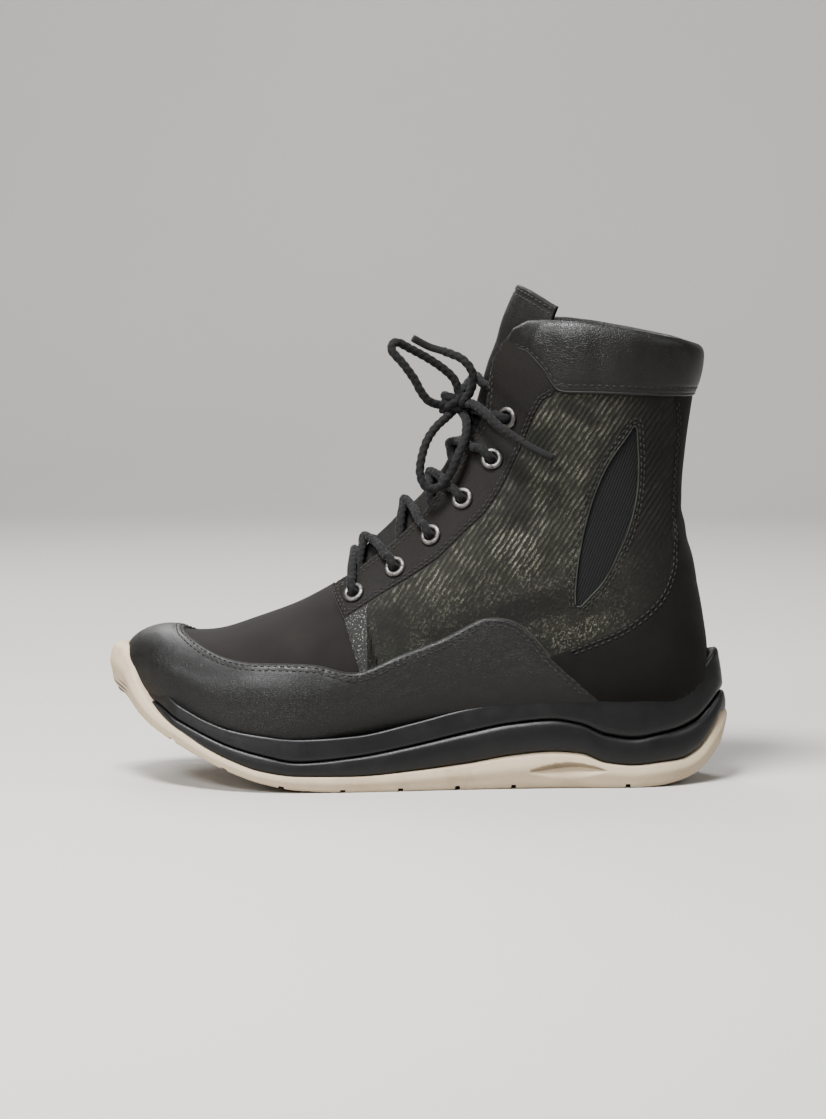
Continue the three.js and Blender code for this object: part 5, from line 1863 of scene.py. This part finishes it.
    def build(self) -> None:
        """Builds the three layers of the sole."""
        self.outsole().piece("outsole", OUTSOLE_RUBBER, "outsole_rubber", ("outsole",))
        lower = self.band(LOWER_BAND_EDGE, "seat", "groove", self.lower_inset)
        lower.piece("midsole_lower", MIDSOLE_FOAM, "midsole_black", ("midsole_lower",))
        upper = self.band(UPPER_BAND_EDGE, "groove", "lip", self.upper_inset)
        upper.piece("midsole_upper", MIDSOLE_FOAM, "midsole_black", ("midsole_upper",))


@dataclass(frozen=True)
class CuffFold:
    """A soft upright fold in the cuff: where along the boot, how wide and deep."""

    x: float
    width: float
    depth: float
    lean: float
    side: int

    def height(self, base: np.ndarray, up: float) -> np.ndarray:
        """Returns how far the fold moves points of the cuff.

        Args:
            base: points of the form under the cuff.
            up: their share of the cuff's height.

        Returns:
            The heights, negative in a fold.
        """
        off = base[:, 0] - (self.x - LENGTH / 2) - self.lean * up
        near = (np.sign(base[:, 1]) == self.side) if self.side else np.ones(len(base), bool)
        upright = math.sin(math.pi * min(max(up, 0.05), 1.0))
        return -self.depth * np.exp(-((off / self.width) ** 2)) * near * upright


CUFF_FOLDS = (
    CuffFold(28.0, 3.2, 0.7, 3.0, 0), CuffFold(44.0, 2.8, 0.5, -2.0, 1), CuffFold(62.0, 3.4, 0.55, 2.0, 0),
    CuffFold(80.0, 3.0, 0.5, 3.0, 1), CuffFold(52.0, 3.0, 0.5, 2.0, -1),
)


@dataclass
class Cuff:
    """The padded cuff, rolled over the top edge."""

    last: Last
    thick: float = 4.2
    full_height: float = 18.0
    fold: float = 0.87
    inner: float = 0.5
    edge: float = 13.3
    columns: int = 300
    foot_row: float = 0.14
    foot_rim: float = 0.035

    def place_on(self, line: np.ndarray, angle: np.ndarray) -> np.ndarray:
        """Returns the rows where the form meets a line of the side view, one for each angle.

        Args:
            line: x and z of the line's points.
            angle: the angles.

        Returns:
            The rows.
        """
        low, high = np.full(len(angle), 23.5), np.full(len(angle), 26.95)
        order = np.argsort(line[:, 0])
        for _ in range(24):
            middle = (low + high) / 2
            point = self.last.point(middle, angle)
            under = point[:, 2] < np.interp(point[:, 0], line[order, 0], line[order, 1])
            low, high = np.where(under, middle, low), np.where(under, high, middle)
        return low

    def across(self, place: float, y: float) -> float:
        """Returns the angle at which the form reaches a distance across.

        Args:
            place: the row of the last's table.
            y: the distance across.

        Returns:
            The angle.
        """
        row = self.last.row(np.array([place]))
        off = y - row["swing"][0] * BALL_WIDTH
        half = (row["lateral"] if off > 0 else row["medial"])[0] * BALL_WIDTH
        lean = math.acos((abs(off) / half) ** (row["high"][0] / 2))
        return lean if off > 0 else math.pi - lean

    def build(self, folds: Sequence[CuffFold], sewing: Sewing) -> None:
        """Builds the cuff with its folds and the rim of its foot, and sews the row along it.

        Args:
            folds: its folds.
            sewing: takes the stitches.
        """
        start, end = self.across(26, -self.edge) - 2 * math.pi, self.across(26, self.edge)
        angle = np.linspace(start, end, self.columns)
        foot = self.place_on(side_points(CUFF_SEAM), angle)
        top = self.place_on(side_points(CUFF_TOP), angle)
        height = np.linalg.norm(self.last.point(top, angle) - self.last.point(foot, angle), axis=1)
        bulge = self.thick * np.minimum(1, height / self.full_height)
        profile = rounded_path(np.array(CUFF_PROFILE.rows, float), 7)
        rings = []
        for up, out in profile:
            far = np.full(len(angle), out * self.thick) if out < 0 else np.maximum(out * bulge, 1.0)
            place = foot + (top - foot) * up
            base = self.last.point(place, angle)
            for fold in folds:
                far = far + fold.height(base, up)
            if out > 0:
                far = far - 0.35 * math.exp(-((up - self.foot_row) / 0.035) ** 2)
            rings.append(self.last.surface(place, angle, far))
        for up in (self.fold, 0.5, 0.0):
            rings.append(self.last.surface(foot + (top - foot) * up, angle, np.full(len(angle), self.inner)))
        rows = np.stack(rings, 1)
        sewn = int(np.argmin(np.abs(profile[:12, 0] - self.foot_row)))
        normals = self.last.normal(foot + (top - foot) * self.foot_row, angle)
        sewing.row(rows[3:-3, sewn], normals[3:-3], 3.4)
        low = int(np.argmin(np.abs(profile[:12, 0] - self.foot_rim)))
        Rim(0.0, 0.4, CUT_EDGE).part(rows[2:-2, low]).piece("collar_cuff_rim", CUT_EDGE, "cuff_leather")
        swept(rows[:, ::-1]).piece("collar_cuff_fine", CUFF_LEATHER, "cuff_leather", ("collar_cuff",))


@dataclass
class Tongue:
    """The padded tongue under the lace."""

    last: Last
    thick: float = 2.5
    drop: float = 4.0
    step: float = 1.5
    puff: float = 0.5
    rolled: float = 1.6
    rolled_by: float = 1.2

    def sink(self, place: np.ndarray, angle: np.ndarray) -> np.ndarray:
        """Returns how far the tongue lies under the form.

        Args:
            place: rows of the last's table, fractions included.
            angle: turns around the section.

        Returns:
            The depths.
        """
        off = np.abs(np.degrees(angle) - 90) / 18
        open_part = np.interp(off, [0, 0.35, 1, 2, 3], [0.3, 0.6, 3.1, 4.1, 4.1])
        share = smooth_step(place, 9.0, 9.75)
        return 4.1 + (open_part - 4.1) * share

    def build(self, sewing: Sewing, crossings: Sequence[float]) -> None:
        """Builds the tongue, puffed between the lace's crossings, and sews its top edge.

        Args:
            sewing: takes the stitches.
            crossings: rows of the last at which the lace crosses.
        """
        dense = np.linspace(8.5, 26.98, 900)
        crest = self.last.point(dense, np.full(900, math.pi / 2), self.drop)
        run = travel(crest)
        place = np.interp(np.linspace(0, run[-1], int(run[-1] / self.step)), run, dense)
        angle = np.radians(np.linspace(36, 144, 74))
        place, angle = np.meshgrid(place, angle, indexing="ij")
        normal = self.last.normal(place, angle, self.drop)
        base = self.last.point(place, angle, self.drop)
        out = -self.sink(place, angle)
        middle = np.exp(-(((np.degrees(angle) - 90) / 16) ** 2))
        far = np.min(np.abs(place[..., None] - np.array(crossings)), axis=-1)
        out = out + self.puff * middle * (smooth_step(far, 0.15, 0.6) - 0.5) * (place > 9.6)
        field_top = polygon_distance(base.reshape(-1, 3)[:, [0, 2]], self.outline()).reshape(place.shape)
        count, around = place.shape
        i, j = np.meshgrid(np.arange(count - 1), np.arange(around - 1), indexing="ij")
        a, b = i * around + j, i * around + j + 1
        c, d = b + around, a + around
        faces = np.concatenate([np.stack(r, -1).reshape(-1, 3) for r in ((a, d, c), (a, c, b))])
        values = {"top": field_top.reshape(-1), "out": out.reshape(-1)}
        sheet = Sheet(base.reshape(-1, 3), normal.reshape(-1, 3), faces, values)
        sheet.trim("top")
        rows = [sheet.line("top", level) for level in (2.2, 4.6)]
        for level in (0.2, 0.7, 1.4):
            sheet.split("top", level)
        edge = sheet.values["top"]
        out = sheet.values["out"] - self.rolled_by + shaped(edge, self.rolled_by, 0.0, self.rolled)
        out = out - 0.35 * np.exp(-((edge - 3.4) / 1.5) ** 2) * (edge < 7)
        for chain in [c for row in rows for c in row]:
            high = chain[sheet.base[chain][:, 2] > 200]
            if len(high) > 6:
                points = sheet.base[high] + sheet.normal[high] * out[high][:, None]
                sewing.row(points, sheet.normal[high], 3.2)
        part = closed(sheet, out, sheet.values["out"] - self.thick)
        part.piece("tongue_fine", TONGUE_LEATHER, "tongue_leather", ("tongue",))

    def outline(self) -> np.ndarray:
        """Returns the tongue's outline in the side view."""
        ahead = np.array([[along_x(0.45), level_z(2.4)], [along_x(0.8), level_z(1.4)]])
        return np.vstack([rounded_path(side_points(TONGUE_BACK), 5), ahead])


@dataclass(frozen=True)
class Seat:
    """Where an eyelet sits: its side and row, its place on the last, its centre and direction."""

    side: int
    row: int
    place: float
    centre: np.ndarray
    normal: np.ndarray

    @property
    def name(self) -> str:
        """Returns the eyelet's node name."""
        return f"eyelet_{SIDE_NAMES[self.side]}_{self.row}"


@dataclass
class Lacing:
    """The eyelets and the lace that runs through them."""

    last: Last
    reach: float = EYELET_REACH
    edge: float = 13.3
    under: float = 10.4
    on_tongue: float = 2.5
    braid_pitch: float = 5.2
    braid_rise: float = 0.17

    def __post_init__(self) -> None:
        """Steps up the throat and notes each eyelet's seat."""
        self.seats: dict[tuple[int, int], Seat] = {}
        for side in (1, -1):
            place, travelled = FIRST_THROAT_ROW, 0.0
            for row in range(EYELET_ROWS, 0, -1):
                goal = FIRST_EYELET + (EYELET_ROWS - row) * EYELET_PITCH
                while travelled < goal:
                    here = self.last.over(place, side * self.reach, 0)
                    place += 0.02
                    travelled += float(np.linalg.norm(self.last.over(place, side * self.reach, 0) - here))
                centre = self.last.over(place, side * self.reach, 0)
                normal = self.last.over(place, side * self.reach, 1) - centre
                self.seats[side, row] = Seat(side, row, place, centre, normal)

    def eyelet(self, seat: Seat) -> Part:
        """Returns one rolled eyelet with its collar and its hollow."""
        profile = ((2.5, -2.3), (3.1, -2.3), (3.1, 2.3), (4.7, 2.25), (5.05, 2.42), (5.1, 2.72), (4.85, 3.1),
                   (4.3, 3.4), (3.7, 3.5), (3.15, 3.38), (2.75, 3.0), (2.55, 2.3), (2.5, 1.2))
        return turned_profile(profile, seat.centre, seat.normal, 40)

    def cord(self, points: np.ndarray) -> Part:
        """Returns a braided lace along some points.

        Args:
            points: the lace's way.

        Returns:
            The lace.
        """
        wave = 2 * math.pi / self.braid_pitch

        def radius(at: np.ndarray, turn: np.ndarray) -> np.ndarray:
            """Returns the radius, raised where one of the braid's two sets of strands lies on top."""
            one, two = np.cos(3 * turn + wave * at * 1.5), np.cos(3 * turn - wave * at * 1.5)
            return LACE / 2 - self.braid_rise + 1.6 * self.braid_rise * np.maximum(one, two)

        return tube(points, radius, 0.55, 20)

    def route(self, start: float, end: float, way: Sequence[tuple[float, float, float]]) -> np.ndarray:
        """Returns points over the front for a way of shares, distances across and distances out."""
        return np.array([self.last.over(start + (end - start) * s, y, out) for s, y, out in way])

    def strand(self, side: int, row: int) -> np.ndarray:
        """Returns the way of one strand, out of an eyelet and down under the facing across from it.

        Args:
            side: the side it comes from, 1 lateral or -1 medial.
            row: the row it comes from, 1 the top one.

        Returns:
            The points of its way.
        """
        start, end = self.seats[side, row].place, self.seats[-side, row + 1].place
        reach, edge, stop = side * self.reach, side * self.edge, side * self.under
        top = self.on_tongue + (0.9 if side > 0 else -0.6)
        way = ((0, reach, -2.5), (0, reach, 1.5), (0.03, reach - side * 0.6, 4.2),
               (0.09, reach - side * 2.9, 5.4), (0.21, (reach + edge) / 2, 4.3), (0.35, edge, 3.9),
               (0.54, edge * 0.56, 0.5 * (top + 1.2)), (0.75, 0, top),
               (0.86, -stop / 2, self.on_tongue - 0.6),
               (0.93, -stop, self.on_tongue - 1.5), (0.97, -1.45 * stop, -1.0), (1.0, -reach, -3.4),
               (1.0, -reach, -1.0))
        return self.route(start, end, way)

    def bar(self) -> np.ndarray:
        """Returns the way of the lowest bar, from hole to hole.

        Returns:
            The points of its way.
        """
        place = self.seats[1, EYELET_ROWS].place
        half = [(0, self.reach, -2.5), (0, self.reach, 1.5), (0, self.reach - 0.6, 4.3),
                (0, self.reach - 3.0, 5.6), (0, (self.reach + self.edge) / 2, 4.7), (0, self.edge, 4.4),
                (0, self.edge / 2, 3.2)]
        way = half + [(0, 0, self.on_tongue)] + [(s, -y, out) for s, y, out in reversed(half)]
        return self.route(place, place, way)

    def lead(self) -> np.ndarray:
        """Returns the way of the two leads from the top of the throat to the knot.

        Returns:
            The points of its way.
        """
        place = self.seats[1, 1].place + 0.75
        outer, inner = (self.route(place, place, ((0, side * 17, -2.2), (0, side * 13, 0.8),
                                                  (0, side * self.under, 2.9), (0, side * 5.2, 4.9)))
                        for side in (1, -1))
        return np.vstack([outer, [from_heel(KNOT_AT)], inner[::-1]])

    def build(self) -> list[float]:
        """Builds the eyelets, the lacing and the bow.

        Returns:
            The rows of the last at which the lace crosses the tongue.
        """
        for seat in self.seats.values():
            self.eyelet(seat).piece(seat.name + "_fine", NICKEL, "eyelet_nickel", (seat.name,))
        self.cord(self.bar()).piece("lace_bar_fine", LACE_YARN, "lace_cord", ("lace_bar",))
        crossings = [self.seats[1, EYELET_ROWS].place]
        for row in range(EYELET_ROWS - 1, 0, -1):
            strands = joined([self.cord(self.strand(side, row)) for side in (1, -1)])
            strands.piece(f"lace_cross_{row}_fine", LACE_YARN, "lace_cord", (f"lace_cross_{row}",))
            crossings.append((self.seats[1, row].place + self.seats[1, row + 1].place) / 2)
        self.cord(self.lead()).piece("lace_lead_fine", LACE_YARN, "lace_cord", ("lace_lead",))
        Bow(self).build()
        return crossings


KNOT_AT = (127.5, 8.0, 174.9)
BOW = {
    "lace_loop_upper": (
        (126, 9, 174), (133, 12, 174), (139, 15, 176), (143, 17, 181), (145.6, 18, 186), (150.6, 19.5, 193),
        (156, 19.5, 199.5), (154, 17.5, 203), (147.7, 14, 200), (138.8, 10.5, 195), (131.7, 8.5, 190),
        (127.3, 7.5, 185.5), (125.5, 7.5, 180), (125.5, 7.5, 174)),
    "lace_loop_lower": (
        (128, 9, 171), (131.5, 14, 168), (136, 18, 164), (140, 21, 158), (142.5, 23, 150), (143, 24, 143),
        (140.5, 24.5, 137.5), (135, 24.5, 137), (129.5, 24, 143), (125.5, 23.5, 152), (122.5, 21, 160),
        (122, 16, 167), (124, 10, 171)),
    "lace_end_upper": (
        (125, 11, 174), (121.5, 17, 178), (119, 20, 184), (119.5, 21.5, 190), (124, 21.5, 195.5),
        (131, 20, 198.5), (139, 19.5, 201), (146.5, 21, 205)),
    "lace_end_rear": (
        (123, 10, 175), (118.7, 20.6, 174.9), (114.2, 27.8, 172), (108.5, 32.4, 166.2), (101.2, 35.5, 161),
        (94.6, 38, 157), (88.9, 40, 154), (83, 41.3, 151.5)),
}


def from_heel(point: Sequence[float]) -> np.ndarray:
    """Returns a point given from the heel's back as one given from the middle."""
    return np.array(point, float) - [LENGTH / 2, 0, 0]


@dataclass
class Bow:
    """The tied bow: a knot of two wraps, two loops and two ends with their tips."""

    lacing: Lacing
    tip_length: float = 17.0
    tip_size: float = 1.75

    def knot(self) -> Part:
        """Returns the knot, two turns of lace over a core.

        Returns:
            The knot.
        """
        centre = from_heel(KNOT_AT)
        turns = []
        for lean, shift, size in ((0.5, -1.9, 4.4), (0.35, 1.9, 4.2)):
            angle = np.linspace(0.2, 2 * math.pi - 0.2, 18)
            ring = np.stack([size * 1.05 * np.cos(angle), 0.92 * size * np.sin(angle),
                             shift + lean * size * np.cos(angle)], 1)
            turns.append(self.lacing.cord(centre + ring))
        cross = ((-5.2, -1.5, 3.2), (-3.2, 3.4, 2.4), (0.2, 5.2, 0.2), (3.6, 3.6, -2.2), (5.4, -0.5, -3.2))
        turns.append(self.lacing.cord(centre + np.array(cross)))
        return joined(turns)

    def run(self, name: str) -> Part:
        """Returns one loop or end of the bow.

        Args:
            name: its node.

        Returns:
            The lace, with its tip if it is an end.
        """
        points = np.array([from_heel(p) for p in BOW[name]])
        if "end" not in name:
            return self.lacing.cord(points)
        path = rounded_path(points, 10)
        left = travel(path)[-1] - travel(path)
        lace, tip = path[left > self.tip_length - 2], path[left <= self.tip_length]
        cord = self.lacing.cord(np.vstack([lace[:-4:8], lace[-1:]]))
        return joined([cord, tube(tip, self.sleeve, 0.8, 18)])

    def sleeve(self, at: np.ndarray, turn: np.ndarray) -> np.ndarray:
        """Returns the sleeved tip's radius, smaller at its very end."""
        return self.tip_size - 0.25 * smooth_step(at, self.tip_length - 1.5, self.tip_length) + 0 * turn

    def build(self) -> None:
        """Builds the knot, the loops and the ends."""
        self.knot().piece("lace_knot_fine", LACE_YARN, "lace_cord", ("lace_knot",))
        for name in BOW:
            made = self.run(name).piece(name + "_fine", LACE_YARN, "lace_cord", (name,))


@dataclass
class Studio:
    """Camera, floor and soft lights as in the photo."""

    focal: float = 112.8
    distance: float = 1.62
    camera_height: float = 0.254
    camera_x: float = 0.0023
    pitch: float = 5.37
    wall_at: float = -1.5
    wall_top: float = 6.0
    floor_half: float = 14.0
    bend: float = 0.6

    def camera(self) -> None:
        """Places the camera at the boot's outer side."""
        data = bpy.data.cameras.new("camera")
        data.sensor_fit, data.sensor_height, data.lens = "VERTICAL", 36.0, self.focal
        camera = bpy.data.objects.new("camera", data)
        camera.location = (self.camera_x, self.distance, self.camera_height)
        camera.rotation_euler = (math.radians(90 - self.pitch), 0.0, math.pi)
        bpy.context.scene.collection.objects.link(camera)
        bpy.context.scene.camera = camera

    def lamp(self, name: str, place: tuple[float, float, float], aim: tuple[float, float, float], wide: float,
             deep: float, power: float) -> None:
        """Adds a soft oblong light.

        Args:
            name: its name.
            place: where it hangs, in metres.
            aim: the point that it faces.
            wide: its width.
            deep: its depth.
            power: its power in watts.
        """
        data = bpy.data.lights.new(name, "AREA")
        data.shape, data.size, data.size_y, data.energy = "RECTANGLE", wide, deep, power
        lamp = bpy.data.objects.new(name, data)
        lamp.location = place
        lamp.rotation_euler = (Vector(aim) - Vector(place)).to_track_quat("-Z", "Y").to_euler()
        bpy.context.scene.collection.objects.link(lamp)

    def lights(self) -> None:
        """Adds the lights and the even sky."""
        self.lamp("overhead", (0.24, 0.44, 1.18), (0.02, 0.0, 0.08), 0.42, 0.3, 44.0)
        self.lamp("front_side", (0.5, 1.0, 0.85), (0.05, 0.03, 0.04), 0.5, 0.15, 17.0)
        self.lamp("toe_side", (1.3, 0.8, 0.7), (0.02, 0.0, 0.1), 0.4, 0.4, 8.0)
        self.lamp("heel_side", (-1.3, 0.4, 0.9), (-0.02, 0.0, 0.1), 0.5, 0.5, 7.0)
        self.lamp("far_side", (0.3, -1.0, 0.9), (0.0, 0.0, 0.1), 0.5, 0.5, 9.0)
        self.lamp("backdrop", (0.0, -0.7, 1.6), (0.0, -1.6, 0.5), 1.2, 1.2, 28.0)
        world = bpy.data.worlds.new("sky")
        world.use_nodes = True
        world.node_tree.nodes["Background"].inputs[0].default_value = (0.95, 0.96, 1.0, 1.0)
        world.node_tree.nodes["Background"].inputs[1].default_value = 0.07
        bpy.context.scene.world = world

    def floor(self) -> None:
        """Lays a floor that turns up into a wall far behind."""
        turn = np.linspace(0, math.pi / 2, 16)
        far, bend = self.floor_half, self.bend
        line = [(self.wall_at - bend * math.sin(t), bend - bend * math.cos(t)) for t in turn]
        line = [(far, 0.0)] + line + [(self.wall_at - bend, self.wall_top)]
        rows = np.array([[(x, y, z) for x in (-far, far)] for y, z in line]) / MM
        part = swept(rows, closed_ends=False, around=False)
        mesh = bpy.data.meshes.new("floor")
        mesh.from_pydata((part.points * MM).tolist(), [], part.faces)
        mesh.shade_smooth()
        mesh.materials.append(FLOOR.material())
        made = bpy.data.objects.new("floor", mesh)
        bpy.context.scene.collection.objects.link(made)

    def build(self) -> None:
        """Builds the floor, the lights and the camera."""
        self.floor()
        self.lights()
        self.camera()


def line_shoe() -> None:
    """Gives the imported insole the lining's cloth."""
    insole = bpy.data.objects["insole"]
    insole.data.materials.clear()
    insole.data.materials.append(LINING_CLOTH.material())
    LOG.info("insole: %d faces", len(insole.data.polygons))


def main() -> None:
    """Builds the boot's fine pieces, then the studio."""
    logging.basicConfig(level=logging.INFO)
    last, sewing = Last(LAST), Sewing()
    Leathers(last, sewing).build()
    Leathers(last, sewing, LINING_MESH).line()
    Sole(last).build()
    crossings = Lacing(last).build()
    Cuff(last).build(CUFF_FOLDS, sewing)
    Tongue(last).build(sewing, crossings)
    sewing.piece()
    line_shoe()
    Studio().build()


if __name__ == "__main__":
    main()
